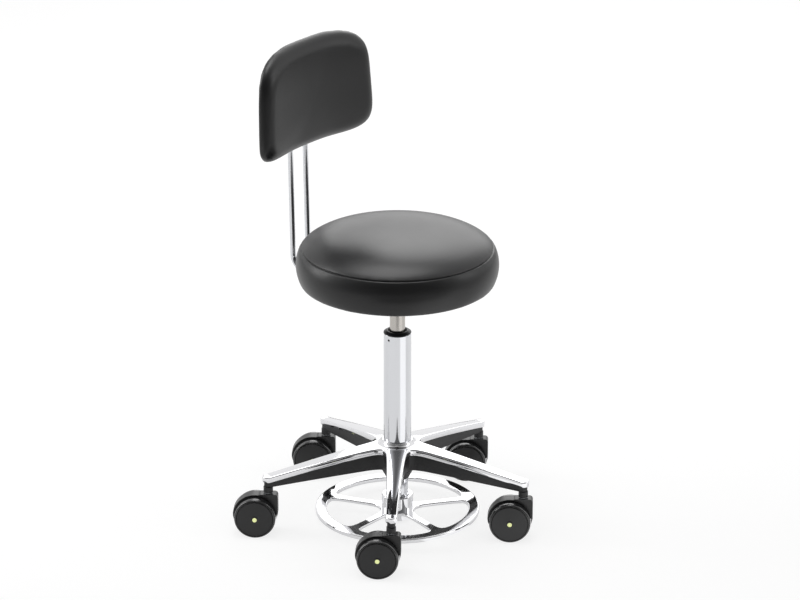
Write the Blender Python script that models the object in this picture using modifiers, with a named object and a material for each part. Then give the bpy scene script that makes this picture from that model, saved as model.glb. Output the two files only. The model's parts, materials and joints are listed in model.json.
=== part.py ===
"""Surgeon stool: a round padded seat on a gas-spring column, a curved back pad on two rods,
a five-armed cast base on twin-wheel casters, and a foot ring that releases the gas spring.

Metres, +Z up. The origin is on the floor under the column's axis, and the sitter faces -Y.
"""

import math

import bmesh
import bpy
from mathutils import Matrix, Vector

# Clearances
FIT_GAP = 0.0003  # between pieces that touch
RUN_GAP = 0.00025  # round a piece that slides or turns in its guide

# Casters
WHEEL_RADIUS = 0.0375
WHEEL_INNER = 0.0095  # from the caster's middle plane to a wheel's inner edge
TREAD_WIDTH = 0.0165
FACE_RADIUS = 0.0335  # the flat disc inside the rounded tyre
FACE_CROWN = 0.0032  # how far the hub stands out from the disc's rim
WHEEL_WALL = 0.0035
WHEEL_HUB_RADIUS = 0.0095
AXLE_RADIUS = 0.004
AXLE_PROUD = 0.0006  # the axle's end past the wheel's hub
CASTER_TRAIL = 0.0235
CASTER_TURN = math.radians(126.1)  # the way that all casters trail
HOOD_CLEARANCE = 0.0011
HOOD_WALL = 0.0024
HOOD_HALF_WIDTH = 0.0128
HOOD_CORNER = 0.006
HOOD_BACK_FOOT = 0.0045  # the hood's flat back ends this far above the axle
PLATFORM_RISE = 0.0012  # the flat round the stem, above the hood's top
PLATFORM_REACH = 0.0143
HOOD_TAIL_ANGLE = math.radians(-8)  # how far the hood reaches down behind the wheel
WEB_RADIUS = 0.016  # the hood's middle web round the axle
STEM_RADIUS = 0.0055
STEM_IN_HOOD = 0.034
STEM_IN_ARM = 0.020
STEM_COLLAR_RADIUS = 0.0072
STEM_COLLAR = 0.0014

# Base
ARM_COUNT = 5
STEM_CIRCLE = 0.242
TIP_HALF_WIDTH = 0.0105
HUB_HALF_WIDTH = 0.0187
TIP_HEIGHT = 0.0323  # from the boss under an arm's tip to the tip's top
TIP_BOSS_RADIUS = 0.0086
ARM_RISE = 0.0375  # from the tip's top to the hub's top
ARM_TIP_DEPTH = 0.0222
ARM_HUB_DEPTH = 0.0400
ARM_SHOULDER = 0.040  # radius where an arm starts to fall away
ARM_FALL = 1.12  # power of the distance with which it falls
LIP_HEIGHT = 0.0114  # the polished lip above the black sides
SIDE_INSET = 0.0030
ARM_CROWN = 0.0012
EDGE_ROUND = 0.0024
HUB_RADIUS = 0.041
BOSS_RADIUS = 0.029
BOSS_DROP = 0.067  # from the hub's top to the boss's foot
BOSS_CHAMFER = (0.0075, 0.016)  # inwards and up
COLLAR_RISE = 0.008
COLLAR_WALL = 0.0022
HUB_FLOOR = 0.018

# Column and gas spring
COLUMN_RADIUS = 0.025
COLUMN_WALL = 0.002
COLUMN_LENGTH = 0.2632
COLUMN_PLATE = 0.004  # the plate across the column's foot
PIN_HOLE_RADIUS = 0.0022
PIN_HOLE_DROP = 0.0083  # below the column's mouth
BUSH_LENGTH = 0.040
BUSH_FLANGE = 0.0050
BUSH_SLOPE = 0.0055  # how far the flange slopes in towards its top
CYLINDER_RADIUS = 0.014
CYLINDER_WALL = 0.002
CYLINDER_LENGTH = 0.327
CYLINDER_LIFT = 0.026  # above the column's foot, with the seat at its lowest
CYLINDER_LIP = 0.002
CYLINDER_ROOF = 0.054
TAPER_LENGTH = 0.045
TAPER_DROP = 0.0009
SEAT_STROKE = 0.190
ROD_RADIUS = 0.005
ROD_TAIL = 0.006  # below the column's plate
ROD_SHOULDER_RADIUS = 0.009
ROD_SHOULDER = 0.0035
SPIGOT_RADIUS = 0.0035
PISTON_LENGTH = 0.014
GUIDE_LENGTH = 0.014
RACE_RADIUS = 0.015
RACE_THICKNESS = 0.002
BALL_DIAMETER = 0.004
CLIP_WIRE = 0.0008
CLIP_GROOVE = 0.0012

# Foot ring and its release
RING_RADIUS = 0.1495
RIM_WIDTH = 0.020
RIM_THICKNESS = 0.0092
RIM_FOOT = 0.0165  # above the floor
SPOKE_HALF_WIDTH = 0.0075
SPOKE_FLARE = 0.0085
SPOKE_FLARE_LENGTH = 0.018
SPOKE_THICKNESS = 0.0066
RING_HUB_RADIUS = 0.0285
RING_HUB_WALL = 0.0035
RING_HUB_FOOT = 0.0065
RING_HUB_HEIGHT = 0.044
RING_SHOULDER = 0.008
RING_TRAVEL = 0.003  # how far a foot presses the ring down
SLEEVE_RADIUS = 0.019
SLEEVE_WALL = 0.0025
SLEEVE_FOOT = 0.0135
SLEEVE_BEAD = (0.0025, 0.0025)  # outwards and along
CAP_FLANGE = 0.0037
CAP_SPIGOT = 0.007
LEVER_PIVOT_OUT = 0.011  # from the column's axis
LEVER_PIVOT_DROP = 0.004  # below the ring hub's shoulder
LEVER_HEIGHT = 0.005
LEVER_WIDTH = 0.005
LEVER_TAIL = 0.004
LEVER_NOSE = 0.0022
LEVER_NOSE_RISE = 0.0011
LEVER_PIN_RADIUS = 0.002
RELEASE_PIN_RADIUS = 0.0025
RELEASE_PIN_TRAVEL = 0.0036

# Seat
SEAT_SEAM_RADIUS = 0.172
SEAT_BULGE = 0.0078  # how far the side band swells past its seams
SEAT_CROWN = 0.027
CROWN_POWER = 5.6  # how flat the top stays before it falls to the seam
SEAT_BAND = 0.0687  # from the hem to the seam
SEAM_PINCH = 0.0014
BOARD_RADIUS = 0.165
BOARD_THICKNESS = 0.012
SOCKET_ROOF = 0.003
SOCKET_LENGTH = 0.044
SOCKET_WALL = 0.005
PLATE_THICKNESS = 0.003
PLATE_HALF_WIDTH = 0.080
PLATE_FRONT = 0.070
PLATE_BEND = 0.070  # where the plate starts to narrow towards its tongue
TONGUE_HALF_WIDTH = 0.042
PLATE_CORNER = 0.012
SCREW_SPACING = (0.065, 0.050)  # from the axis, across and along
SCREW_RADIUS = 0.003
SCREW_HEAD_RADIUS = 0.0055
SCREW_HEAD = 0.004
SCREW_GRIP = 0.010  # length in the board

# Back rods and their clamp
BACK_ROD_RADIUS = 0.005
BACK_ROD_SPACING = 0.042
BACK_ROD_BEND = 0.025
BACK_ROD_REACH = 0.225  # where the uprights would meet the run under the seat
BACK_ROD_TURN = 0.051  # front of the hairpin, at the rod's middle
BACK_ROD_LENGTH = 0.333  # upright, from the run under the seat
BACK_LEAN = math.radians(1.2)
BRACKET_DROP = 0.015  # from the seat plate to the rods' axis
BRACKET_HALF_WIDTH = 0.036
BRACKET_REAR = 0.156
BRACKET_LENGTH = 0.050
CLAMP_GAP = 0.0004  # half the gap between bracket and clamp plate
CLAMP_DEPTH = 0.012
KNOB_RADIUS = 0.019
KNOB_LOBE = 0.0022
KNOB_LOBES = 5
KNOB_HEIGHT = 0.024
KNOB_STUD_RADIUS = 0.004
KNOB_EDGE = 0.003
STUD_GRIP = 0.010

# Back pad
ROD_PAST_PAD = 0.0095  # from the pad's middle up to the rods' ends
PAD_BACK = 0.0126  # from the rods' axis forward to the pad's back
PAD_HALF_HEIGHT = 0.0955
PAD_FOOT_HALF = 0.1565
PAD_TOP_HALF = 0.1445
PAD_TOP_ARCH = 0.0127
PAD_FOOT_ARCH = 0.0082
PAD_SQUARENESS = 5.4  # exponent of the outline's rounded corners
PAD_CURVE_RADIUS = 0.476
PAD_EDGE = 0.0086
PAD_THICKNESS = 0.0335
PAD_ROUND = 0.028  # how far in the front edge is rounded
PAD_BOARD_INSET = 0.012
PAD_BOARD_THICKNESS = 0.008
GUIDE_HALF_WIDTH = 0.034
GUIDE_HALF_HEIGHT = 0.050
GUIDE_WALL = 0.004  # behind the rods
GUIDE_CENTRE_DROP = 0.020  # below the pad's middle
GUIDE_CORNER = 0.006
PAD_SCREW_SPACING = 0.030
PAD_SCREW_RADIUS = 0.0022
PAD_SCREW_HEAD = (0.0042, 0.0026)  # radius and height
PAD_SCREW_GRIP = 0.006

# Facets round a circle
FINE, ROUND, HIDDEN, SMALL = 40, 28, 16, 12
WHEEL_FACETS = 24

# Heights and places that follow from the sizes above
hood_radius = WHEEL_RADIUS + HOOD_CLEARANCE + HOOD_WALL
hood_top = WHEEL_RADIUS + hood_radius
platform_top = hood_top + PLATFORM_RISE
tip_boss_foot = platform_top + STEM_COLLAR + 2 * FIT_GAP
arm_tip_top = tip_boss_foot + TIP_HEIGHT
arm_hub_top = arm_tip_top + ARM_RISE
boss_foot = arm_hub_top - BOSS_DROP
column_seat = boss_foot + HUB_FLOOR
column_foot = column_seat + FIT_GAP
column_top = column_foot + COLUMN_LENGTH
plate_top = column_foot + COLUMN_PLATE
cylinder_foot = column_foot + CYLINDER_LIFT
cylinder_top = cylinder_foot + CYLINDER_LENGTH
cylinder_bore = CYLINDER_RADIUS - CYLINDER_WALL
taper_foot = cylinder_top - TAPER_LENGTH
seat_plate_foot = cylinder_top + SOCKET_ROOF
seat_plate_top = seat_plate_foot + PLATE_THICKNESS
board_foot = seat_plate_top + FIT_GAP
board_top = board_foot + BOARD_THICKNESS
seam_height = board_foot + SEAT_BAND
seat_top = seam_height + SEAT_CROWN
ring_hub_top = RING_HUB_FOOT + RING_HUB_HEIGHT
ring_shoulder_foot = ring_hub_top - RING_SHOULDER
ring_cavity = RING_HUB_RADIUS - RING_HUB_WALL
lever_pivot_height = ring_shoulder_foot - LEVER_PIVOT_DROP
lever_top = lever_pivot_height + LEVER_HEIGHT / 2
rod_run_height = seat_plate_foot - BRACKET_DROP
bracket_middle = BRACKET_REAR - BRACKET_LENGTH / 2
pad_rise = BACK_ROD_LENGTH - ROD_PAST_PAD
pad_middle_height = rod_run_height + pad_rise
pad_middle_back = BACK_ROD_REACH + pad_rise * math.tan(BACK_LEAN)

for old in list(bpy.data.objects):
    bpy.data.objects.remove(old, do_unlink=True)

parts = bpy.data.collections.new("surgeon_stool")
cutters = bpy.data.collections.new("cutters")
bpy.context.scene.collection.children.link(parts)
bpy.context.scene.collection.children.link(cutters)


def finish(name, colour, roughness, metallic):
    """A Principled material of one colour."""
    material = bpy.data.materials.new(name)
    material.use_nodes = True
    shader = material.node_tree.nodes["Principled BSDF"]
    shader.inputs["Base Color"].default_value = (*colour, 1)
    shader.inputs["Roughness"].default_value = roughness
    shader.inputs["Metallic"].default_value = metallic
    return material


CHROME = finish("chromed_steel", (0.80, 0.80, 0.81), 0.08, 1)
POLISHED = finish("polished_aluminium", (0.86, 0.86, 0.87), 0.12, 1)
STEEL = finish("ground_steel", (0.55, 0.55, 0.56), 0.3, 1)
BLACK_PLASTIC = finish("black_plastic", (0.02, 0.02, 0.021), 0.4, 0)
BLACK_STEEL = finish("black_coated_steel", (0.025, 0.025, 0.026), 0.5, 0)
VINYL = finish("black_vinyl", (0.018, 0.018, 0.019), 0.42, 0)
PLYWOOD = finish("plywood", (0.03, 0.028, 0.026), 0.55, 0)
MARK = finish("yellow_green_mark", (0.62, 0.70, 0.10), 0.45, 0)


def add_object(name, mesh, material=None):
    """A part in the stool's collection, or a hidden cutter where it has no material."""
    obj = bpy.data.objects.new(name, mesh)
    if material:
        if not mesh.materials:
            mesh.materials.append(material)
        parts.objects.link(obj)
    else:
        cutters.objects.link(obj)
        obj.hide_render = True
        obj.display_type = "WIRE"
    return obj


def mesh_from(bm, name):
    """A mesh from a bmesh, its faces turned outwards and smooth up to sharp edges."""
    bmesh.ops.recalc_face_normals(bm, faces=bm.faces)
    mesh = bpy.data.meshes.new(name)
    bm.to_mesh(mesh)
    bm.free()
    mesh.shade_smooth()
    mesh.set_sharp_from_angle(angle=math.radians(35))
    return mesh


def turned(name, profile, facets, material=None):
    """A profile of (radius, height) turned round Z. It runs down its outer side, from the axis or as a loop."""
    mesh = bpy.data.meshes.new(name)
    edges = [(i, i + 1) for i in range(len(profile) - 1)]
    if profile[0][0] > 0:
        edges.append((len(profile) - 1, 0))
    mesh.from_pydata([(r, 0, z) for r, z in profile], edges, [])
    obj = add_object(name, mesh, material)
    screw = obj.modifiers.new("turn", "SCREW")
    screw.axis = "Z"
    screw.angle = 2 * math.pi
    screw.steps = screw.render_steps = facets
    screw.use_merge_vertices = True
    screw.merge_threshold = 1e-5
    screw.use_smooth_shade = False
    return obj


def cylinder(name, radius, low, high, facets, material=None, top_radius=None, centre=(0, 0)):
    """An upright cylinder, or a cone where the top has its own radius."""
    bm = bmesh.new()
    top = radius if top_radius is None else top_radius
    move = Matrix.Translation((*centre, (low + high) / 2))
    bmesh.ops.create_cone(
        bm, cap_ends=True, segments=facets, radius1=radius, radius2=top, depth=high - low, matrix=move
    )
    return add_object(name, mesh_from(bm, name), material)


def box(name, low, high, material=None):
    """A box between two corners."""
    bm = bmesh.new()
    size = Vector(high) - Vector(low)
    move = Matrix.Translation((Vector(low) + Vector(high)) / 2) @ Matrix.Diagonal((*size, 1))
    bmesh.ops.create_cube(bm, size=1, matrix=move)
    return add_object(name, mesh_from(bm, name), material)


def loft(name, rings, material=None, first_pole=None, last_pole=None):
    """A skin over closed rings of points, with each end a flat face or drawn to a pole."""
    bm = bmesh.new()
    loops = [[bm.verts.new(point) for point in ring] for ring in rings]
    count = len(rings[0])
    for one, two in zip(loops, loops[1:]):
        for i in range(count):
            j = (i + 1) % count
            bm.faces.new((one[i], one[j], two[j], two[i]))
    for loop, pole in ((loops[0], first_pole), (loops[-1], last_pole)):
        if pole is None:
            bm.faces.new(loop)
            continue
        middle = bm.verts.new(pole)
        for i in range(count):
            bm.faces.new((loop[i], loop[(i + 1) % count], middle))
    return add_object(name, mesh_from(bm, name), material)


def settled(obj):
    """The object's mesh with its modifiers and curves made real, and the object removed."""
    bpy.context.view_layer.update()
    graph = bpy.context.evaluated_depsgraph_get()
    mesh = bpy.data.meshes.new_from_object(obj.evaluated_get(graph), depsgraph=graph)
    bpy.data.objects.remove(obj, do_unlink=True)
    bm = bmesh.new()
    bm.from_mesh(mesh)
    bmesh.ops.remove_doubles(bm, verts=bm.verts, dist=1e-6)
    name = mesh.name
    bpy.data.meshes.remove(mesh)
    return mesh_from(bm, name)


def extruded(name, outlines, thickness, material=None, placed=Matrix.Identity(4)):
    """Flat outlines, the first with the others as holes, given a thickness about their plane."""
    curve = bpy.data.curves.new(name, "CURVE")
    curve.dimensions = "2D"
    curve.fill_mode = "BOTH"
    curve.extrude = thickness / 2
    for outline in outlines:
        spline = curve.splines.new("POLY")
        spline.points.add(len(outline) - 1)
        for point, (x, y) in zip(spline.points, outline):
            point.co = (x, y, 0, 1)
        spline.use_cyclic_u = True
    shape = bpy.data.objects.new(name, curve)
    cutters.objects.link(shape)
    mesh = settled(shape)
    mesh.transform(placed)
    return add_object(name, mesh, material)


def combine(obj, operation, others):
    """Cuts other objects from this one, or joins them to it."""
    for other in others:
        modifier = obj.modifiers.new(operation.lower(), "BOOLEAN")
        modifier.operation = operation
        modifier.object = other
    return obj


def arc(centre, radius, start, end, steps):
    """Points on a circle from one angle to another, both ends included."""
    turn = (end - start) / steps
    return [
        (
            centre[0] + radius * math.cos(start + turn * i),
            centre[1] + radius * math.sin(start + turn * i),
        )
        for i in range(steps + 1)
    ]


def rounded(corners, radius, steps=4):
    """A closed outline through the corners, each turned into an arc."""
    outline = []
    count = len(corners)
    for i, corner in enumerate(corners):
        here = Vector(corner)
        back = (Vector(corners[i - 1]) - here).normalized()
        ahead = (Vector(corners[(i + 1) % count]) - here).normalized()
        outline += [tuple(point) for point in bend(here, back, ahead, radius, steps)]
    return outline


def bend(corner, back, ahead, radius, steps):
    """Points of the arc that rounds one corner between two directions."""
    half = back.angle(ahead) / 2
    middle = corner + (back + ahead).normalized() * (radius / math.sin(half))
    start = corner + back * (radius / math.tan(half)) - middle
    end = corner + ahead * (radius / math.tan(half)) - middle
    sweep = math.pi - 2 * half
    return [
        middle + (start * math.sin(sweep * (1 - i / steps)) + end * math.sin(sweep * i / steps)) / math.sin(sweep)
        for i in range(steps + 1)
    ]


def wire(name, points, radius, material, resolution=3):
    """A round bar along points, with closed ends."""
    curve = bpy.data.curves.new(name, "CURVE")
    curve.dimensions = "3D"
    curve.bevel_depth = radius
    curve.bevel_resolution = resolution
    curve.use_fill_caps = True
    spline = curve.splines.new("POLY")
    spline.points.add(len(points) - 1)
    for point, place in zip(spline.points, points):
        point.co = (*place, 1)
    curve.materials.append(material)
    obj = bpy.data.objects.new(name, curve)
    parts.objects.link(obj)
    return obj


# Cast base


def arm_half_width(out):
    """Half the width of an arm's top: it narrows from hub to tip and ends in a round nose."""
    if out > STEM_CIRCLE:
        return math.sqrt(max(TIP_HALF_WIDTH**2 - (out - STEM_CIRCLE) ** 2, 0))
    share = (STEM_CIRCLE - out) / (STEM_CIRCLE - BOSS_RADIUS)
    return TIP_HALF_WIDTH + (HUB_HALF_WIDTH - TIP_HALF_WIDTH) * share**1.35


def arm_section(out, turn):
    """An arm's outline at one distance from the axis: recessed sides under a crowned, rounded lip."""
    half = arm_half_width(out)
    along = max(0.0, (min(out, STEM_CIRCLE) - ARM_SHOULDER) / (STEM_CIRCLE - ARM_SHOULDER))
    top = arm_hub_top - ARM_RISE * along**ARM_FALL
    reach = min(out, STEM_CIRCLE) / STEM_CIRCLE
    foot = arm_hub_top - ARM_HUB_DEPTH + (arm_tip_top - ARM_TIP_DEPTH - arm_hub_top + ARM_HUB_DEPTH) * reach
    inset = min(SIDE_INSET, half * 0.4)
    edge = min(EDGE_ROUND, half * 0.5)
    side = [
        (half - inset, foot),
        (half - inset, top - LIP_HEIGHT),
        (half, top - LIP_HEIGHT),
        (half, top - ARM_CROWN - edge),
        (half - edge * 0.3, top - ARM_CROWN - edge * 0.3),
        (half - edge, top - ARM_CROWN),
    ]
    outline = side + [(0, top)] + [(-across, height) for across, height in reversed(side)]
    cos, sin = math.cos(turn), math.sin(turn)
    return [(out * cos - across * sin, out * sin + across * cos, height) for across, height in outline]


def arm_stations():
    """Distances from the axis at which an arm is drawn, closer together round its nose."""
    inner = COLUMN_RADIUS * 0.9
    steps = 6
    straight = [inner + (STEM_CIRCLE - inner) * i / steps for i in range(steps + 1)]
    nose = [STEM_CIRCLE + TIP_HALF_WIDTH * math.sin(math.radians(angle)) for angle in (35, 70)]
    return straight + nose


chamfer_in, chamfer_up = BOSS_CHAMFER
collar_radius = COLUMN_RADIUS + FIT_GAP + COLLAR_WALL
hub_lip_foot = arm_hub_top - LIP_HEIGHT - FIT_GAP
star_base = turned(
    "star_base",
    [
        (0, arm_hub_top + COLLAR_RISE),
        (collar_radius, arm_hub_top + COLLAR_RISE),
        (collar_radius + 0.15 * (HUB_RADIUS - collar_radius), arm_hub_top + 0.45 * COLLAR_RISE),
        (collar_radius + 0.45 * (HUB_RADIUS - collar_radius), arm_hub_top + 0.06 * COLLAR_RISE),
        (HUB_RADIUS - EDGE_ROUND, arm_hub_top - ARM_CROWN),
        (HUB_RADIUS, arm_hub_top - ARM_CROWN - EDGE_ROUND),
        (HUB_RADIUS, hub_lip_foot),
        (HUB_RADIUS - SIDE_INSET, hub_lip_foot),
        (HUB_RADIUS - SIDE_INSET, arm_hub_top - ARM_HUB_DEPTH),
        (BOSS_RADIUS, arm_hub_top - ARM_HUB_DEPTH),
        (BOSS_RADIUS, boss_foot + chamfer_up),
        (BOSS_RADIUS - chamfer_in, boss_foot),
        (0, boss_foot),
    ],
    ROUND,
    POLISHED,
)
arm_turns = [2 * math.pi * i / ARM_COUNT for i in range(ARM_COUNT)]
stem_places = [(STEM_CIRCLE * math.cos(turn), STEM_CIRCLE * math.sin(turn)) for turn in arm_turns]
arms = [loft("arm", [arm_section(out, turn) for out in arm_stations()]) for turn in arm_turns]
tip_bosses = [
    cylinder("tip_boss", TIP_BOSS_RADIUS, tip_boss_foot, arm_tip_top - LIP_HEIGHT / 2, SMALL, centre=place)
    for place in stem_places
]
combine(star_base, "UNION", arms + tip_bosses)
stem_top = tip_boss_foot + STEM_IN_ARM
base_bores = [
    cylinder("column_bore", COLUMN_RADIUS + FIT_GAP, column_seat, arm_hub_top + 2 * COLLAR_RISE, ROUND),
    cylinder("sleeve_bore", SLEEVE_RADIUS + FIT_GAP, boss_foot - HUB_FLOOR, column_seat + FIT_GAP, ROUND),
]
base_bores += [
    cylinder("stem_bore", STEM_RADIUS + FIT_GAP, tip_boss_foot - STEM_COLLAR, stem_top + FIT_GAP, SMALL, centre=place)
    for place in stem_places
]
combine(star_base, "DIFFERENCE", base_bores)

# Column tube with the plate across its foot, and the bush in its mouth

column_tube = turned(
    "column_tube",
    [
        (COLUMN_RADIUS, column_top),
        (COLUMN_RADIUS, column_foot),
        (ROD_RADIUS + COLUMN_PLATE * 0.3, column_foot),
        (ROD_RADIUS + COLUMN_PLATE * 0.3, plate_top),
        (COLUMN_RADIUS - COLUMN_WALL, plate_top),
        (COLUMN_RADIUS - COLUMN_WALL, column_top),
    ],
    ROUND,
    CHROME,
)
pin_hole = cylinder("pin_hole", PIN_HOLE_RADIUS, 0, 2 * COLUMN_WALL, SMALL)
pin_hole.rotation_euler = (0, -math.pi / 2, 0)
pin_hole.location = (-COLUMN_RADIUS + 1.5 * COLUMN_WALL, 0, column_top - PIN_HOLE_DROP)
combine(column_tube, "DIFFERENCE", [pin_hole])

bush_radius = COLUMN_RADIUS - COLUMN_WALL - FIT_GAP
bush_bore = CYLINDER_RADIUS + RUN_GAP
bush_seat = column_top + FIT_GAP
bush_top = bush_seat + BUSH_FLANGE
turned(
    "guide_bush",
    [
        (COLUMN_RADIUS - BUSH_SLOPE, bush_top),
        (COLUMN_RADIUS, bush_seat + BUSH_FLANGE / 4),
        (COLUMN_RADIUS, bush_seat),
        (bush_radius, bush_seat),
        (bush_radius, column_top - BUSH_LENGTH),
        (bush_bore, column_top - BUSH_LENGTH),
        (bush_bore, bush_seat),
        (COLUMN_RADIUS - BUSH_SLOPE * 1.4, bush_top),
    ],
    ROUND,
    BLACK_PLASTIC,
)

# Thrust bearing on the column's plate

race_bore = ROD_RADIUS + RUN_GAP
lower_race_foot = plate_top + FIT_GAP
balls_foot = lower_race_foot + RACE_THICKNESS + FIT_GAP
upper_race_foot = balls_foot + BALL_DIAMETER + FIT_GAP
rod_shoulder_foot = upper_race_foot + RACE_THICKNESS + FIT_GAP
for race, race_foot in (("bearing_race_lower", lower_race_foot), ("bearing_race_upper", upper_race_foot)):
    turned(
        race,
        [
            (RACE_RADIUS, race_foot + RACE_THICKNESS),
            (RACE_RADIUS, race_foot),
            (race_bore, race_foot),
            (race_bore, race_foot + RACE_THICKNESS),
        ],
        HIDDEN,
        STEEL,
    )
ball_circle = (race_bore + RACE_RADIUS) / 2
ball_ring = arc((ball_circle, balls_foot + BALL_DIAMETER / 2), BALL_DIAMETER / 2, math.pi / 2, -1.5 * math.pi, 6)
turned("ball_ring", ball_ring[:-1], HIDDEN, STEEL)

# Gas spring: the rod stands on the bearing, and the cylinder slides on the rod

rod_foot = column_foot - ROD_TAIL
clip_height = column_foot - FIT_GAP - CLIP_WIRE
pin_bore = RELEASE_PIN_RADIUS + RUN_GAP
pin_bore_top = rod_shoulder_foot + ROD_SHOULDER + 2 * RELEASE_PIN_TRAVEL
piston_foot = cylinder_foot + CYLINDER_LIP + GUIDE_LENGTH + SEAT_STROKE + FIT_GAP * 2
piston_top = piston_foot + PISTON_LENGTH
groove = ROD_RADIUS - CLIP_GROOVE
turned(
    "piston_rod",
    [
        (0, piston_top + ROD_RADIUS / 2),
        (SPIGOT_RADIUS, piston_top + ROD_RADIUS / 2),
        (SPIGOT_RADIUS, piston_foot - FIT_GAP),
        (ROD_RADIUS, piston_foot - FIT_GAP),
        (ROD_RADIUS, rod_shoulder_foot + ROD_SHOULDER),
        (ROD_SHOULDER_RADIUS, rod_shoulder_foot + ROD_SHOULDER),
        (ROD_SHOULDER_RADIUS, rod_shoulder_foot),
        (ROD_RADIUS, rod_shoulder_foot),
        (ROD_RADIUS, clip_height + CLIP_WIRE + FIT_GAP / 2),
        (groove, clip_height + CLIP_WIRE + FIT_GAP / 2),
        (groove, clip_height - CLIP_WIRE - FIT_GAP / 2),
        (ROD_RADIUS, clip_height - CLIP_WIRE - FIT_GAP / 2),
        (ROD_RADIUS, rod_foot),
        (pin_bore, rod_foot),
        (pin_bore, pin_bore_top),
        (0, pin_bore_top),
    ],
    SMALL,
    CHROME,
)
clip_radius = groove + FIT_GAP + CLIP_WIRE
clip_points = [(x, y, clip_height) for x, y in arc((0, 0), clip_radius, math.radians(35), math.radians(325), 14)]
wire("rod_clip", clip_points, CLIP_WIRE, STEEL, resolution=1)
turned(
    "piston",
    [
        (cylinder_bore - RUN_GAP, piston_top),
        (cylinder_bore - RUN_GAP, piston_foot),
        (SPIGOT_RADIUS + FIT_GAP, piston_foot),
        (SPIGOT_RADIUS + FIT_GAP, piston_top),
    ],
    HIDDEN,
    STEEL,
)
guide_foot = cylinder_foot + CYLINDER_LIP + FIT_GAP
turned(
    "rod_guide",
    [
        (cylinder_bore - FIT_GAP, guide_foot + GUIDE_LENGTH),
        (cylinder_bore - FIT_GAP, guide_foot),
        (ROD_RADIUS + RUN_GAP, guide_foot),
        (ROD_RADIUS + RUN_GAP, guide_foot + GUIDE_LENGTH),
    ],
    HIDDEN,
    BLACK_PLASTIC,
)
turned(
    "gas_cylinder",
    [
        (0, cylinder_top),
        (CYLINDER_RADIUS - TAPER_DROP, cylinder_top),
        (CYLINDER_RADIUS, taper_foot),
        (CYLINDER_RADIUS, cylinder_foot),
        (cylinder_bore - CYLINDER_LIP, cylinder_foot),
        (cylinder_bore - CYLINDER_LIP, cylinder_foot + CYLINDER_LIP),
        (cylinder_bore, cylinder_foot + CYLINDER_LIP),
        (cylinder_bore, cylinder_top - CYLINDER_ROOF),
        (0, cylinder_top - CYLINDER_ROOF),
    ],
    HIDDEN,
    STEEL,
)

# Foot release: a sleeve under the base, the rocking lever in it, and the pin that it lifts

bead_out, bead_along = SLEEVE_BEAD
sleeve_bore_radius = SLEEVE_RADIUS - SLEEVE_WALL
bead_foot = ring_hub_top + FIT_GAP
release_sleeve = turned(
    "release_sleeve",
    [
        (SLEEVE_RADIUS, column_foot - 2 * FIT_GAP),
        (SLEEVE_RADIUS, bead_foot + bead_along),
        (SLEEVE_RADIUS + bead_out, bead_foot + bead_along * 0.75),
        (SLEEVE_RADIUS + bead_out, bead_foot),
        (SLEEVE_RADIUS, bead_foot),
        (SLEEVE_RADIUS, SLEEVE_FOOT),
        (sleeve_bore_radius, SLEEVE_FOOT),
        (sleeve_bore_radius, column_foot - 2 * FIT_GAP),
    ],
    HIDDEN,
    CHROME,
)
lever_foot = lever_pivot_height - LEVER_HEIGHT / 2
lever_tip = ring_cavity - (RING_HUB_WALL + LEVER_NOSE_RISE) / 4
lever_slot = box(
    "lever_slot",
    (sleeve_bore_radius * 0.8, -LEVER_WIDTH * 0.6, lever_foot - RING_TRAVEL - 2 * FIT_GAP),
    (SLEEVE_RADIUS * 1.2, LEVER_WIDTH * 0.6, lever_top + LEVER_HEIGHT * 0.4),
)
pivot_half = math.sqrt(SLEEVE_RADIUS**2 - (LEVER_PIVOT_OUT + LEVER_PIN_RADIUS) ** 2) - FIT_GAP
across_axis = Matrix.Rotation(math.pi / 2, 4, "X")
pivot_place = Matrix.Translation((LEVER_PIVOT_OUT, 0, lever_pivot_height)) @ across_axis
pivot_hole = cylinder("pivot_hole", LEVER_PIN_RADIUS + FIT_GAP, -2 * pivot_half, 2 * pivot_half, SMALL)
pivot_hole.data.transform(pivot_place)
combine(release_sleeve, "DIFFERENCE", [lever_slot, pivot_hole])
lever_pivot = cylinder("lever_pivot", LEVER_PIN_RADIUS, -pivot_half, pivot_half, SMALL, STEEL)
lever_pivot.data.transform(across_axis)
lever_pivot.location = pivot_place.translation

lever_outline = [
    (-LEVER_TAIL, lever_foot),
    (lever_tip - LEVER_HEIGHT, lever_foot),
    (lever_tip, lever_pivot_height - LEVER_HEIGHT * 0.2),
    (lever_tip, lever_top + LEVER_NOSE_RISE),
    (lever_tip - LEVER_NOSE, lever_top + LEVER_NOSE_RISE),
    (lever_tip - LEVER_NOSE - LEVER_NOSE_RISE, lever_top),
    (-LEVER_TAIL, lever_top),
]
lever_hole = arc((LEVER_PIVOT_OUT, lever_pivot_height), LEVER_PIN_RADIUS + RUN_GAP, 0, 2 * math.pi, SMALL)[:-1]
from_pivot = [
    [(x - LEVER_PIVOT_OUT, z - lever_pivot_height) for x, z in outline] for outline in (lever_outline, lever_hole)
]
release_lever = extruded("release_lever", from_pivot, LEVER_WIDTH, STEEL, across_axis)
release_lever.location = pivot_place.translation

release_pin_foot = lever_top + 2 * FIT_GAP
cylinder("release_pin", RELEASE_PIN_RADIUS, release_pin_foot, pin_bore_top - RELEASE_PIN_TRAVEL - FIT_GAP, SMALL, STEEL)

cap_top = SLEEVE_FOOT - FIT_GAP
turned(
    "sleeve_cap",
    [
        (0, cap_top + CAP_SPIGOT),
        (sleeve_bore_radius - FIT_GAP, cap_top + CAP_SPIGOT),
        (sleeve_bore_radius - FIT_GAP, cap_top),
        (ring_cavity - RING_HUB_WALL / 4, cap_top),
        (ring_cavity - RING_HUB_WALL / 4, cap_top - CAP_FLANGE),
        (0, cap_top - CAP_FLANGE),
    ],
    HIDDEN,
    BLACK_PLASTIC,
)

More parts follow.
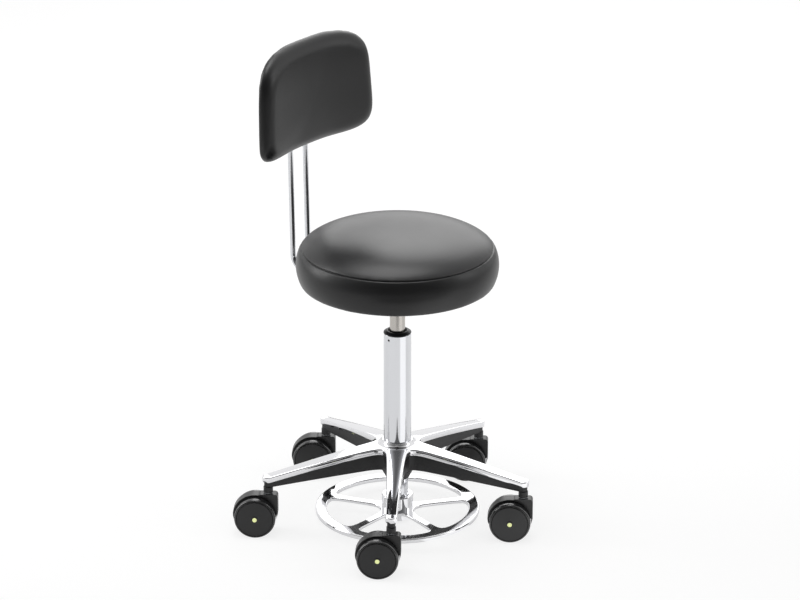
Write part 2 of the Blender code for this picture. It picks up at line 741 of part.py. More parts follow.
# Foot ring: a turned hub and rim with flared spokes, cast in one

hub_edge = RING_HUB_WALL / 2
ring_bore = SLEEVE_RADIUS + RUN_GAP
foot_ring = turned(
    "foot_ring",
    [
        (RING_HUB_RADIUS - hub_edge, ring_hub_top),
        (RING_HUB_RADIUS, ring_hub_top - hub_edge),
        (RING_HUB_RADIUS, RING_HUB_FOOT),
        (ring_cavity, RING_HUB_FOOT),
        (ring_cavity, ring_shoulder_foot),
        (ring_bore, ring_shoulder_foot),
        (ring_bore, ring_hub_top),
    ],
    ROUND,
    POLISHED,
)
rim_inner = RING_RADIUS - RIM_WIDTH
rim_top = RIM_FOOT + RIM_THICKNESS
rim_edge = RIM_WIDTH * 0.18
rim = turned(
    "rim",
    [
        (RING_RADIUS - RIM_WIDTH / 2, rim_top),
        (RING_RADIUS - rim_edge, rim_top - RIM_THICKNESS * 0.08),
        (RING_RADIUS, rim_top - RIM_THICKNESS * 0.40),
        (RING_RADIUS, RIM_FOOT + RIM_THICKNESS * 0.27),
        (RING_RADIUS - rim_edge, RIM_FOOT),
        (rim_inner + rim_edge, RIM_FOOT),
        (rim_inner, RIM_FOOT + RIM_THICKNESS * 0.27),
        (rim_inner, rim_top - RIM_THICKNESS * 0.40),
        (rim_inner + rim_edge, rim_top - RIM_THICKNESS * 0.08),
    ],
    FINE,
)


def spoke_section(out, turn, start, end):
    """A spoke's outline at one distance from the axis, flared towards both its ends."""
    near_end = min(out - start, end - out)
    share = max(0.0, 1 - near_end / SPOKE_FLARE_LENGTH)
    half = SPOKE_HALF_WIDTH + SPOKE_FLARE * share**2
    foot = RIM_FOOT + (RIM_THICKNESS - SPOKE_THICKNESS) / 2
    edge = SPOKE_THICKNESS / 3
    outline = [
        (half, foot),
        (half, foot + SPOKE_THICKNESS - edge),
        (half - edge, foot + SPOKE_THICKNESS),
        (edge - half, foot + SPOKE_THICKNESS),
        (-half, foot + SPOKE_THICKNESS - edge),
        (-half, foot),
    ]
    cos, sin = math.cos(turn), math.sin(turn)
    return [(out * cos - across * sin, out * sin + across * cos, height) for across, height in outline]


spoke_start = ring_cavity + RING_HUB_WALL / 2
spoke_end = rim_inner + RIM_WIDTH / 4
flare_stations = [SPOKE_FLARE_LENGTH * share for share in (0, 0.4, 1)]
spoke_stations = [spoke_start + step for step in flare_stations]
spoke_stations += [spoke_end - step for step in reversed(flare_stations)]
spokes = [
    loft("spoke", [spoke_section(out, turn + math.pi / ARM_COUNT, spoke_start, spoke_end) for out in spoke_stations])
    for turn in arm_turns
]
combine(foot_ring, "UNION", [rim] + spokes)

# Seat plate with the socket for the cylinder's taper, and its screws

plate_outline = rounded(
    [
        (-PLATE_HALF_WIDTH, -PLATE_FRONT),
        (PLATE_HALF_WIDTH, -PLATE_FRONT),
        (PLATE_HALF_WIDTH, PLATE_BEND),
        (TONGUE_HALF_WIDTH, BRACKET_REAR),
        (-TONGUE_HALF_WIDTH, BRACKET_REAR),
        (-PLATE_HALF_WIDTH, PLATE_BEND),
    ],
    PLATE_CORNER,
)
screw_x, screw_y = SCREW_SPACING
screw_places = [(screw_x * i, screw_y * j) for i in (-1, 1) for j in (-1, 1)]
plate_height = Matrix.Translation((0, 0, (seat_plate_foot + seat_plate_top) / 2))
seat_plate = extruded("seat_plate", [plate_outline], PLATE_THICKNESS, BLACK_STEEL, plate_height)
socket_foot = seat_plate_foot - SOCKET_LENGTH
socket = cylinder(
    "socket", CYLINDER_RADIUS + SOCKET_WALL, socket_foot, seat_plate_foot + PLATE_THICKNESS / 2, ROUND
)
taper_slope = TAPER_DROP / TAPER_LENGTH
taper_low = taper_foot - CYLINDER_RADIUS
taper_cut = cylinder(
    "taper_cut",
    CYLINDER_RADIUS + FIT_GAP + taper_slope * CYLINDER_RADIUS,
    taper_low,
    cylinder_top + FIT_GAP,
    ROUND,
    top_radius=CYLINDER_RADIUS - TAPER_DROP + FIT_GAP,
)
screw_holes = [
    cylinder("screw_hole", SCREW_RADIUS + FIT_GAP, seat_plate_foot - SCREW_HEAD, board_top + SCREW_HEAD, SMALL, centre=place)
    for place in screw_places
]
combine(seat_plate, "UNION", [socket])
combine(seat_plate, "DIFFERENCE", [taper_cut] + screw_holes)
head_top = seat_plate_foot - FIT_GAP
for number, place in enumerate(screw_places, 1):
    name = f"seat_screw_{number}"
    screw = cylinder(name, SCREW_HEAD_RADIUS, head_top - SCREW_HEAD, head_top, 6, BLACK_STEEL, centre=place)
    shank_top = board_foot + SCREW_GRIP
    shank = cylinder("shank", SCREW_RADIUS, head_top - SCREW_HEAD / 2, shank_top, SMALL, centre=place)
    combine(screw, "UNION", [shank])

# Seat board and the cushion round it

seat_board = cylinder("seat_board", BOARD_RADIUS, board_foot, board_top, FINE, PLYWOOD)
combine(seat_board, "DIFFERENCE", screw_holes)


def seat_cushion_profile():
    """Crowned top, pinched seam, swelling side band and hem, then the recess for the board."""
    crown_steps, band_steps = 6, 6
    crown = []
    for i in range(crown_steps):
        out = 1 - (1 - i / crown_steps) ** 1.8
        crown.append(((SEAT_SEAM_RADIUS - SEAM_PINCH) * out, seat_top - SEAT_CROWN * out**CROWN_POWER))
    seam = [
        (SEAT_SEAM_RADIUS - 2 * SEAM_PINCH, seam_height + 1.5 * SEAM_PINCH),
        (SEAT_SEAM_RADIUS - SEAM_PINCH, seam_height),
    ]
    band = []
    hem_round = SEAT_BULGE
    band_height = SEAT_BAND - SEAM_PINCH - hem_round
    for i in range(band_steps + 1):
        down = i / band_steps
        swell = SEAT_BULGE * math.sin(math.pi * (0.08 + 0.84 * down)) ** 0.8
        band.append((SEAT_SEAM_RADIUS + swell, seam_height - SEAM_PINCH - band_height * down))
    recess = BOARD_RADIUS + FIT_GAP
    hem = [
        (SEAT_SEAM_RADIUS + SEAT_BULGE * 0.1, board_foot + hem_round * 0.4),
        (recess + (SEAT_SEAM_RADIUS - recess) * 0.6, board_foot),
        (recess, board_foot),
        (recess, board_top + FIT_GAP),
        (0, board_top + FIT_GAP),
    ]
    return crown + seam + band + hem


turned("seat_cushion", seat_cushion_profile(), FINE, VINYL)

# Clamp for the back rods, under the seat plate's tongue

rod_side = BACK_ROD_SPACING / 2
bracket_front = BRACKET_REAR - BRACKET_LENGTH
groove_radius = BACK_ROD_RADIUS + RUN_GAP
rod_grooves = []
for side in (-rod_side, rod_side):
    rod_groove = cylinder("rod_groove", groove_radius, -BRACKET_LENGTH, BRACKET_LENGTH, SMALL)
    rod_groove.data.transform(Matrix.Translation((side, bracket_middle, rod_run_height)) @ across_axis)
    rod_grooves.append(rod_groove)
clamp_foot = rod_run_height - CLAMP_DEPTH
stud_top = rod_run_height + STUD_GRIP
stud_hole = cylinder(
    "stud_hole",
    KNOB_STUD_RADIUS + RUN_GAP,
    clamp_foot - CLAMP_DEPTH,
    stud_top + FIT_GAP,
    SMALL,
    centre=(0, bracket_middle),
)
rod_bracket = box(
    "rod_bracket",
    (-BRACKET_HALF_WIDTH, bracket_front, rod_run_height + CLAMP_GAP),
    (BRACKET_HALF_WIDTH, BRACKET_REAR, seat_plate_foot - FIT_GAP),
    BLACK_STEEL,
)
clamp_plate = box(
    "clamp_plate",
    (-BRACKET_HALF_WIDTH, bracket_front, clamp_foot),
    (BRACKET_HALF_WIDTH, BRACKET_REAR, rod_run_height - CLAMP_GAP),
    BLACK_STEEL,
)
for half in (rod_bracket, clamp_plate):
    combine(half, "DIFFERENCE", rod_grooves + [stud_hole])

knob_top = clamp_foot - FIT_GAP
knob_outline = []
knob_points = 8 * KNOB_LOBES
for i in range(knob_points):
    angle = 2 * math.pi * i / knob_points
    reach = KNOB_RADIUS + KNOB_LOBE * math.cos(KNOB_LOBES * angle)
    knob_outline.append((reach * math.cos(angle), reach * math.sin(angle)))
knob_height = Matrix.Translation((0, 0, knob_top - KNOB_HEIGHT / 2))
clamp_knob = extruded("clamp_knob", [knob_outline], KNOB_HEIGHT, BLACK_PLASTIC, knob_height)
clamp_knob.location = (0, bracket_middle, 0)
knob_edge = clamp_knob.modifiers.new("edge", "BEVEL")
knob_edge.width = KNOB_EDGE
knob_edge.segments = 1
knob_edge.angle_limit = math.radians(60)
knob_stud = cylinder(
    "knob_stud", KNOB_STUD_RADIUS, knob_top - KNOB_HEIGHT / 2, stud_top, SMALL, centre=(0, bracket_middle)
)
combine(clamp_knob, "UNION", [knob_stud])

# Back rods: one bar bent into a hairpin under the seat, with both ends turned up to the pad

upright = Vector((0, math.sin(BACK_LEAN), math.cos(BACK_LEAN)))
rod_corners = []
for side in (-rod_side, rod_side):
    corner = Vector((side, BACK_ROD_REACH, rod_run_height))
    rod_corners.append((corner, corner + upright * BACK_ROD_LENGTH, Vector((side, BACK_ROD_TURN, rod_run_height))))
(left_corner, left_top, left_turn), (right_corner, right_top, right_turn) = rod_corners
ahead = Vector((0, -1, 0))
across = Vector((1, 0, 0))
turn_radius = rod_side - FIT_GAP
rod_path = [left_top]
rod_path += bend(left_corner, upright, ahead, BACK_ROD_BEND, 6)
rod_path += bend(left_turn, -ahead, across, turn_radius, 6)
rod_path += bend(right_turn, -across, -ahead, turn_radius, 6)
rod_path += bend(right_corner, ahead, upright, BACK_ROD_BEND, 6)
rod_path.append(right_top)
wire("back_rods", rod_path, BACK_ROD_RADIUS, CHROME)

# Back pad: its pieces hang on an empty at the pad's middle on the rods, leaning with them

pad_slide = bpy.data.objects.new("pad_slide", None)
parts.objects.link(pad_slide)
pad_slide.location = (0, pad_middle_back, pad_middle_height)
pad_slide.rotation_euler = (-BACK_LEAN, 0, 0)
PAD_POINTS = 36


def pad_outline(inset):
    """The pad's outline, wider at its foot, with arched edges and square-round corners."""
    outline = []
    for i in range(PAD_POINTS):
        angle = 2 * math.pi * (i + 0.5) / PAD_POINTS
        across_share = math.copysign(abs(math.cos(angle)) ** (2 / PAD_SQUARENESS), math.cos(angle))
        up_share = math.copysign(abs(math.sin(angle)) ** (2 / PAD_SQUARENESS), math.sin(angle))
        half = PAD_FOOT_HALF + (PAD_TOP_HALF - PAD_FOOT_HALF) * (up_share + 1) / 2 - inset
        arch = PAD_TOP_ARCH if up_share > 0 else PAD_FOOT_ARCH
        rise = arch * (1 - across_share**2) * abs(up_share)
        outline.append((half * across_share, up_share * (PAD_HALF_HEIGHT - inset) + rise))
    return outline


def pad_ring(outline, depth, shrink=1.0):
    """An outline at one depth in front of the pad's back, bent round the sitter."""
    return [
        (
            x * shrink,
            -PAD_BACK - depth - (x * shrink) ** 2 / (2 * PAD_CURVE_RADIUS),
            z * shrink,
        )
        for x, z in outline
    ]


def pad_pole(depth):
    """The middle of the pad at one depth."""
    return (0, -PAD_BACK - depth, 0)


recess_depth = PAD_BOARD_THICKNESS + FIT_GAP
recess_outline = pad_outline(PAD_BOARD_INSET - FIT_GAP)
board_outline = pad_outline(PAD_BOARD_INSET)
front_rise = PAD_THICKNESS - PAD_EDGE
front_outline = pad_outline(PAD_ROUND)
cushion_rings = [
    pad_ring(board_outline, recess_depth, 0.5),
    pad_ring(board_outline, recess_depth),
    pad_ring(recess_outline, recess_depth),
    pad_ring(recess_outline, 0),
    pad_ring(pad_outline(PAD_EDGE * 0.35), 0),
    pad_ring(pad_outline(0), PAD_EDGE * 0.4),
    pad_ring(pad_outline(0), PAD_EDGE),
    pad_ring(pad_outline(PAD_ROUND * 0.15), PAD_EDGE + front_rise * 0.36),
    pad_ring(pad_outline(PAD_ROUND * 0.45), PAD_EDGE + front_rise * 0.66),
    pad_ring(front_outline, PAD_EDGE + front_rise * 0.86),
    pad_ring(front_outline, PAD_EDGE + front_rise * 0.95, 0.8),
    pad_ring(front_outline, PAD_THICKNESS, 0.4),
]
back_cushion = loft("back_cushion", cushion_rings, VINYL, pad_pole(recess_depth), pad_pole(PAD_THICKNESS))

board_rings = [
    pad_ring(board_outline, PAD_BOARD_THICKNESS, 0.5),
    pad_ring(board_outline, PAD_BOARD_THICKNESS),
    pad_ring(board_outline, 0),
    pad_ring(board_outline, 0, 0.5),
]
back_board = loft("back_board", board_rings, BLACK_PLASTIC, pad_pole(PAD_BOARD_THICKNESS), pad_pole(0))

guide_front = -PAD_BACK + FIT_GAP
guide_rear = BACK_ROD_RADIUS + GUIDE_WALL
guide_outline = rounded(
    [
        (-GUIDE_HALF_WIDTH, guide_front),
        (GUIDE_HALF_WIDTH, guide_front),
        (GUIDE_HALF_WIDTH, guide_rear),
        (-GUIDE_HALF_WIDTH, guide_rear),
    ],
    GUIDE_CORNER,
)
guide_bores = [arc((side, 0), groove_radius, 0, 2 * math.pi, SMALL)[:-1] for side in (-rod_side, rod_side)]
guide_place = Matrix.Translation((0, 0, -GUIDE_CENTRE_DROP))
back_guide = extruded(
    "back_guide", [guide_outline] + guide_bores, 2 * GUIDE_HALF_HEIGHT, BLACK_PLASTIC, guide_place
)

head_radius, head_height = PAD_SCREW_HEAD
screw_tip = -PAD_BACK - PAD_SCREW_GRIP
pad_screw_holes = []
along_back = Matrix.Rotation(-math.pi / 2, 4, "X")
for name, rise in (("back_screw_upper", PAD_SCREW_SPACING), ("back_screw_lower", -PAD_SCREW_SPACING)):
    screw_place = Matrix.Translation((0, 0, rise - GUIDE_CENTRE_DROP)) @ along_back
    hole = cylinder("pad_screw_hole", PAD_SCREW_RADIUS + FIT_GAP, -PAD_THICKNESS, PAD_THICKNESS, SMALL)
    hole.data.transform(screw_place)
    hole.parent = pad_slide
    pad_screw_holes.append(hole)
    head_seat = guide_rear + FIT_GAP
    screw = turned(
        name,
        [
            (0, head_seat + head_height),
            (head_radius * 0.7, head_seat + head_height),
            (head_radius, head_seat + head_height * 0.4),
            (head_radius, head_seat),
            (PAD_SCREW_RADIUS, head_seat),
            (PAD_SCREW_RADIUS, screw_tip),
            (0, screw_tip),
        ],
        SMALL,
        STEEL,
    )
    screw.data.transform(along_back)
    screw.modifiers["turn"].axis = "Y"
    screw.location = screw_place.translation
    screw.parent = pad_slide
for piece in (back_cushion, back_board, back_guide):
    piece.parent = pad_slide
combine(back_board, "DIFFERENCE", pad_screw_holes)
combine(back_guide, "DIFFERENCE", pad_screw_holes)

# Casters: each stem is fixed in an arm, the hood swivels on it, and the wheels turn on the hood's axle.
# A caster's own frame has its stem at the origin and trails along +X.

axle_place = (CASTER_TRAIL, WHEEL_RADIUS)
body_half = WHEEL_INNER - HOOD_CLEARANCE
on_edge = Matrix.Rotation(math.pi / 2, 4, "X")
quarter = math.pi / 2
hood_inner = hood_radius - HOOD_WALL
hood_back = CASTER_TRAIL - hood_radius
back_foot = WHEEL_RADIUS + HOOD_BACK_FOOT
back_corner = Vector((hood_back, platform_top))
hood_corner = bend(back_corner, Vector((0, -1)), Vector((1, 0)), HOOD_CORNER, 3)

hood_outline = [(hood_back, back_foot)] + [tuple(point) for point in hood_corner]
hood_outline += [(PLATFORM_REACH, platform_top), (PLATFORM_REACH + PLATFORM_RISE, hood_top)]
hood_outline += arc(axle_place, hood_radius, quarter, HOOD_TAIL_ANGLE, 8)
hood_outline += arc(axle_place, hood_inner, HOOD_TAIL_ANGLE, math.pi - HOOD_TAIL_ANGLE, 12)
hood = extruded("hood", [hood_outline], 2 * HOOD_HALF_WIDTH, BLACK_PLASTIC, on_edge)
inset = HOOD_WALL / 2
web_outline = [(hood_back + inset, back_foot), (hood_back + inset, platform_top - HOOD_CORNER)]
web_outline += [(hood_back + HOOD_CORNER, platform_top - inset), (PLATFORM_REACH, platform_top - inset)]
web_outline += arc(axle_place, hood_radius - inset, quarter, HOOD_TAIL_ANGLE + math.radians(4), 6)
web_outline += arc(axle_place, WEB_RADIUS, HOOD_TAIL_ANGLE, -math.pi - HOOD_TAIL_ANGLE, 5)
web = extruded("web", [web_outline], 2 * body_half, None, on_edge)
axle_bore = cylinder("axle_bore", AXLE_RADIUS + FIT_GAP, -HOOD_HALF_WIDTH, HOOD_HALF_WIDTH, SMALL)
axle_bore.data.transform(Matrix.Translation((CASTER_TRAIL, 0, WHEEL_RADIUS)) @ on_edge)
stem_foot = platform_top - STEM_IN_HOOD
hood_bore = cylinder("hood_bore", STEM_RADIUS + RUN_GAP, stem_foot - FIT_GAP, platform_top + STEM_COLLAR, SMALL)
combine(hood, "UNION", [web])
combine(hood, "DIFFERENCE", [axle_bore, hood_bore])
hood_mesh = settled(hood)

flat = 1 / math.cos(math.pi / WHEEL_FACETS)  # the tread's flats, not its edges, lie on the wheel's radius
wheel_outer = WHEEL_INNER + TREAD_WIDTH
tyre_edge = TREAD_WIDTH / 4
wheel_hub_face = wheel_outer + FACE_CROWN
axle_end = wheel_hub_face + AXLE_PROUD
wheel = turned(
    "wheel",
    [
        (WHEEL_HUB_RADIUS, wheel_hub_face),
        (FACE_RADIUS, wheel_outer),
        (WHEEL_RADIUS * flat - tyre_edge * 0.5, wheel_outer - tyre_edge * 0.2),
        (WHEEL_RADIUS * flat, wheel_outer - tyre_edge),
        (WHEEL_RADIUS * flat, WHEEL_INNER),
        (WHEEL_RADIUS * flat - WHEEL_WALL, WHEEL_INNER),
        (FACE_RADIUS - WHEEL_WALL, wheel_outer - WHEEL_WALL),
        (WHEEL_HUB_RADIUS, WHEEL_INNER),
        (AXLE_RADIUS + RUN_GAP, WHEEL_INNER),
        (AXLE_RADIUS + RUN_GAP, wheel_hub_face),
    ],
    WHEEL_FACETS,
    BLACK_PLASTIC,
)
wheel_mesh = settled(wheel)
wheel_mesh.transform(Matrix.Rotation(math.pi / WHEEL_FACETS, 4, "Z"))

stem = turned(
    "stem",
    [
        (0, stem_top),
        (STEM_RADIUS, stem_top),
        (STEM_RADIUS, platform_top + FIT_GAP + STEM_COLLAR),
        (STEM_COLLAR_RADIUS, platform_top + FIT_GAP + STEM_COLLAR),
        (STEM_COLLAR_RADIUS, platform_top + FIT_GAP),
        (STEM_RADIUS, platform_top + FIT_GAP),
        (STEM_RADIUS, stem_foot),
        (0, stem_foot),
    ],
    SMALL,
    STEEL,
)
stem_mesh = settled(stem)
axle = cylinder("axle", AXLE_RADIUS, -axle_end, axle_end, SMALL, MARK)
axle_mesh = settled(axle)

near_side = Matrix.Rotation(-quarter, 4, "X")
far_side = Matrix.Rotation(quarter, 4, "X")
for number, place in enumerate(stem_places, 1):
    swivel = bpy.data.objects.new(f"caster_{number}_swivel", None)
    parts.objects.link(swivel)
    swivel.location = (*place, 0)
    swivel.rotation_euler = (0, 0, CASTER_TURN)
    add_object(f"caster_{number}_stem", stem_mesh, STEEL).parent = swivel
    add_object(f"caster_{number}_hood", hood_mesh, BLACK_PLASTIC).parent = swivel
    for name, mesh, material, side in (
        ("axle", axle_mesh, MARK, near_side),
        ("wheel_a", wheel_mesh, BLACK_PLASTIC, near_side),
        ("wheel_b", wheel_mesh, BLACK_PLASTIC, far_side),
    ):
        turning = add_object(f"caster_{number}_{name}", mesh, material)
        turning.parent = swivel
        turning.location = (CASTER_TRAIL, 0, WHEEL_RADIUS)
        turning.rotation_euler = side.to_euler()
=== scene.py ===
"""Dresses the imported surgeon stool: vinyl cushions, polished castings, chromed tubes and moulded casters.

Metres, +Z up, the origin on the floor under the column. The sitter faces -Y.
"""

import json
import math

import bmesh
import bpy
import numpy as np
from mathutils import Matrix, Vector


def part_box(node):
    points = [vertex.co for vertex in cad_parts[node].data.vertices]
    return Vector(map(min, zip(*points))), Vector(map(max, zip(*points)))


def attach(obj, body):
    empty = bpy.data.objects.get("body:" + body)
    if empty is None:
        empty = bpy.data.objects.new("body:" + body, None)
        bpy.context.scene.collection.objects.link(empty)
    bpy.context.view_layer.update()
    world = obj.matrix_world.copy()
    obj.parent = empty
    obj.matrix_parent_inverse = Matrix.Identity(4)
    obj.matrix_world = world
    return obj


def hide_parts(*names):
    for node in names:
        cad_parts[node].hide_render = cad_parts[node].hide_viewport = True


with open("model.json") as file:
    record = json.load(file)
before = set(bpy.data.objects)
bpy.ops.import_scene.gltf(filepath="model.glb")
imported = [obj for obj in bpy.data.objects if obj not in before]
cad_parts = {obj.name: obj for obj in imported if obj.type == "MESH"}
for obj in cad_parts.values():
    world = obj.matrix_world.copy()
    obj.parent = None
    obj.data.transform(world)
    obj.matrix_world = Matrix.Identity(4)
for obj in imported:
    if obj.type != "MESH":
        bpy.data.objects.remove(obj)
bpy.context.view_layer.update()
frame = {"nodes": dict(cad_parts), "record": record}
joints = {joint["name"]: joint for joint in frame["record"]["behaviour"]["joints"]}

# Studio: a pale floor without an edge, a white surround and wide soft lamps overhead, behind and beside.
# The surround and the floor show as plain white, and the floor keeps the stool's shadow.


def linear(colour):
    """An sRGB hex colour as linear red, green and blue with full alpha."""
    parts = np.array([int(colour[i : i + 2], 16) for i in (1, 3, 5)]) / 255
    values = np.where(parts <= 0.04045, parts / 12.92, ((parts + 0.055) / 1.055) ** 2.4)
    return (*values.tolist(), 1.0)


def add_node(tree, kind, sockets=None, **settings):
    """A shader node with its settings, and its sockets set to values or linked to outputs.
    Another node given as a value is linked by the first of its outputs that is in use."""
    made = tree.nodes.new("ShaderNode" + kind)
    for name, value in settings.items():
        setattr(made, name, value)
    for socket, value in (sockets or {}).items():
        if isinstance(value, bpy.types.Node):
            value = next(output for output in value.outputs if output.enabled)
        if isinstance(value, bpy.types.NodeSocket):
            tree.links.new(value, made.inputs[socket])
        else:
            made.inputs[socket].default_value = value
    return made


CAMERA_TURN = math.radians(-51.4)
right = np.array([math.cos(CAMERA_TURN), math.sin(CAMERA_TURN), 0])
away = np.array([-math.sin(CAMERA_TURN), math.cos(CAMERA_TURN), 0])
# The surround is dimmer in reflections from the camera's side, between two cosines of the angle to it.
AMBIENT, DIM_FRONT, DIM_START, DIM_END = 0.42, 0.16, -0.1, 0.8
world = bpy.data.worlds.new("white_studio")
world.use_nodes = True
bpy.context.scene.world = world
tree = world.node_tree
tree.nodes.clear()
path = add_node(tree, "LightPath").outputs
way = add_node(tree, "TexCoord").outputs["Generated"]
toward = add_node(tree, "VectorMath", {0: way, 1: tuple(-away)}, operation="DOT_PRODUCT")
mirrored = add_node(
    tree,
    "MapRange",
    {"Value": toward, "From Min": DIM_START, "From Max": DIM_END, "To Min": 1.0, "To Max": DIM_FRONT},
    interpolation_type="SMOOTHSTEP",
)
lit = add_node(tree, "Mix", {"Factor": path["Is Glossy Ray"], "A": AMBIENT, "B": mirrored})
seen = add_node(tree, "Math", {0: path["Is Camera Ray"], 1: path["Is Transmission Ray"]}, operation="MAXIMUM")
strength = add_node(tree, "Mix", {"Factor": seen, "A": lit, "B": 1.0})
background = add_node(tree, "Background", {"Color": linear("#ffffff"), "Strength": strength})
add_node(tree, "OutputWorld", {"Surface": background})

# The floor is a matt white sheet that the camera sees as plain white. In reflections it shows painted
# patches:
# a dark one before the camera, which also darkens the light bounced from there, a bright one to its right,
# and dark far off.
# The sectors of the patches are given by cosines of the angle from their middle line.
FLOOR_HALF = 9.0
SHEET_GLOW, SHEET_SHINE, PAINTED_BRIGHT_SHINE = 0.80, 0.56, 0.93
SHEET_END, SHEET_FADE = 4.0, 1.0
PAINTED_DARK_START, PAINTED_DARK_START_FADE, PAINTED_DARK_END, PAINTED_DARK_END_FADE = 0.98, 0.2, 1.65, 0.3
PAINTED_DARK_TURN, PAINTED_DARK_SECTOR = math.radians(18), (0.70, 0.82)
PAINTED_BRIGHT_TURN, PAINTED_BRIGHT_SECTOR = math.radians(47), (0.885, 0.93)
floor_paint = bpy.data.materials.new("white_studio_floor")
floor_paint.use_nodes = True
tree = floor_paint.node_tree
tree.nodes.clear()
path = add_node(tree, "LightPath").outputs
spot = add_node(tree, "TexCoord").outputs["Object"]
flat_way = add_node(tree, "VectorMath", {0: spot}, operation="NORMALIZE")
painted_dark_way, painted_bright_way = (
    tuple(math.cos(turn) * -away + math.sin(turn) * right) for turn in (PAINTED_DARK_TURN, PAINTED_BRIGHT_TURN)
)
spread = add_node(tree, "VectorMath", {0: spot}, operation="LENGTH")
nearer = add_node(tree, "VectorMath", {0: spot, 1: tuple(-away)}, operation="DOT_PRODUCT")
ahead = add_node(tree, "VectorMath", {0: flat_way, 1: painted_dark_way}, operation="DOT_PRODUCT")
beside = add_node(tree, "VectorMath", {0: flat_way, 1: painted_bright_way}, operation="DOT_PRODUCT")
# Each fade is (measure, where it starts, where it ends, level before it, level after it).
past_end, in_painted_dark, past_painted_dark, painted_dark_width, sheet_shine = (
    add_node(
        tree,
        "MapRange",
        {"Value": measure, "From Min": start, "From Max": end, "To Min": before, "To Max": after},
        interpolation_type="SMOOTHSTEP",
    )
    for measure, start, end, before, after in (
        (spread, SHEET_END, SHEET_END + SHEET_FADE, 0.0, 1.0),
        (nearer, PAINTED_DARK_START, PAINTED_DARK_START + PAINTED_DARK_START_FADE, 0.0, 1.0),
        (nearer, PAINTED_DARK_END, PAINTED_DARK_END + PAINTED_DARK_END_FADE, 1.0, 0.0),
        (ahead, *PAINTED_DARK_SECTOR, 0.0, 1.0),
        (beside, *PAINTED_BRIGHT_SECTOR, SHEET_SHINE, PAINTED_BRIGHT_SHINE),
    )
)
# The dark patch is painted for reflections and bounced light only, and the bright patch for reflections only;
# the camera sees white there.
painted_dark = add_node(tree, "Math", {0: in_painted_dark, 1: past_painted_dark}, operation="MULTIPLY")
painted_dark = add_node(tree, "Math", {0: painted_dark, 1: painted_dark_width}, operation="MULTIPLY")
beyond = add_node(tree, "Math", {0: painted_dark, 1: past_end}, operation="MAXIMUM")
sheet_tone = add_node(
    tree,
    "Mix",
    {"Factor": path["Is Camera Ray"], "A": linear("#b4b4b4"), "B": linear("#8e8e8e")},
    data_type="RGBA",
)
matt_tone = add_node(
    tree, "Mix", {"Factor": beyond, "A": sheet_tone, "B": linear("#1c1c1c")}, data_type="RGBA"
)
matt = add_node(tree, "BsdfDiffuse", {"Color": matt_tone, "Roughness": 1.0})
shine = add_node(tree, "Mix", {"Factor": beyond, "A": sheet_shine, "B": 0.0})
hidden = add_node(tree, "Mix", {"Factor": path["Is Glossy Ray"], "A": 0.0, "B": shine})
shown = add_node(tree, "Mix", {"Factor": beyond, "A": SHEET_GLOW, "B": 1.0})
glow_level = add_node(tree, "Mix", {"Factor": path["Is Camera Ray"], "A": hidden, "B": shown})
glow = add_node(tree, "Emission", {"Color": linear("#ffffff"), "Strength": glow_level})
floor_mix = add_node(tree, "AddShader", {0: matt, 1: glow})
add_node(tree, "OutputMaterial", {"Surface": floor_mix})
floor_mesh = bpy.data.meshes.new("studio_floor")
floor_corners = [(FLOOR_HALF * x, FLOOR_HALF * y, 0) for x, y in ((-1, -1), (1, -1), (1, 1), (-1, 1))]
floor_mesh.from_pydata(floor_corners, [], [(0, 1, 2, 3)])
floor_mesh.materials.append(floor_paint)
floor = bpy.data.objects.new("studio_floor", floor_mesh)
bpy.context.scene.collection.objects.link(floor)

CAMERA_PITCH, CAMERA_LENS, CAMERA_SENSOR = 0.373, 189.07, 36
CAMERA_BACK, CAMERA_HEIGHT, CAMERA_SIDE = 7.005, 3.16935, 0.004558
camera = bpy.data.objects.new("camera", bpy.data.cameras.new("camera"))
camera.data.sensor_width = CAMERA_SENSOR
camera.data.lens = CAMERA_LENS
camera.location = CAMERA_SIDE * right - CAMERA_BACK * away + np.array([0, 0, CAMERA_HEIGHT])
camera.rotation_euler = (math.pi / 2 - CAMERA_PITCH, 0, CAMERA_TURN)
bpy.context.scene.collection.objects.link(camera)
bpy.context.scene.camera = camera

# Each lamp is (name, metres to the camera's right, metres behind the stool, height, width, depth, watts).
LAMP_AIM = Vector((0, 0, 0.4))
for name, across, behind, height, width, depth, watts in (
    ("rear_softbox", 0.4, 2.7, 2.0, 2.2, 2.3, 25),
    ("overhead_softbox", -0.2, 0.2, 2.8, 1.6, 1.4, 26),
    ("left_softbox", -2.3, 0.35, 1.5, 0.7, 2.0, 22),
    ("right_softbox", 2.8, -0.2, 1.8, 0.9, 1.8, 8),
):
    lamp = bpy.data.objects.new(name, bpy.data.lights.new(name, "AREA"))
    lamp.data.shape = "RECTANGLE"
    lamp.data.size = width
    lamp.data.size_y = depth
    lamp.data.energy = watts
    lamp.location = Vector(across * right + behind * away + np.array([0, 0, height]))
    lamp.rotation_euler = (LAMP_AIM - lamp.location).to_track_quat("-Z", "Y").to_euler()
    bpy.context.scene.collection.objects.link(lamp)
bpy.context.scene.view_settings.view_transform = "Standard"

# Cast base: one aluminium die casting of hub and five arms. The top and its lip are ground and polished,
# the recessed sides, the underside, the boss and the necks over the casters are coated black.

MERGE_DISTANCE, SLIVER = 2e-6, 1e-7
# The most of a side that an arc takes up, and the place of the point past it, by the arc and by the side.
ARC_SHARE, HOLD_BY_ARC, HOLD_BY_SIDE = 0.45, 0.3, 0.04


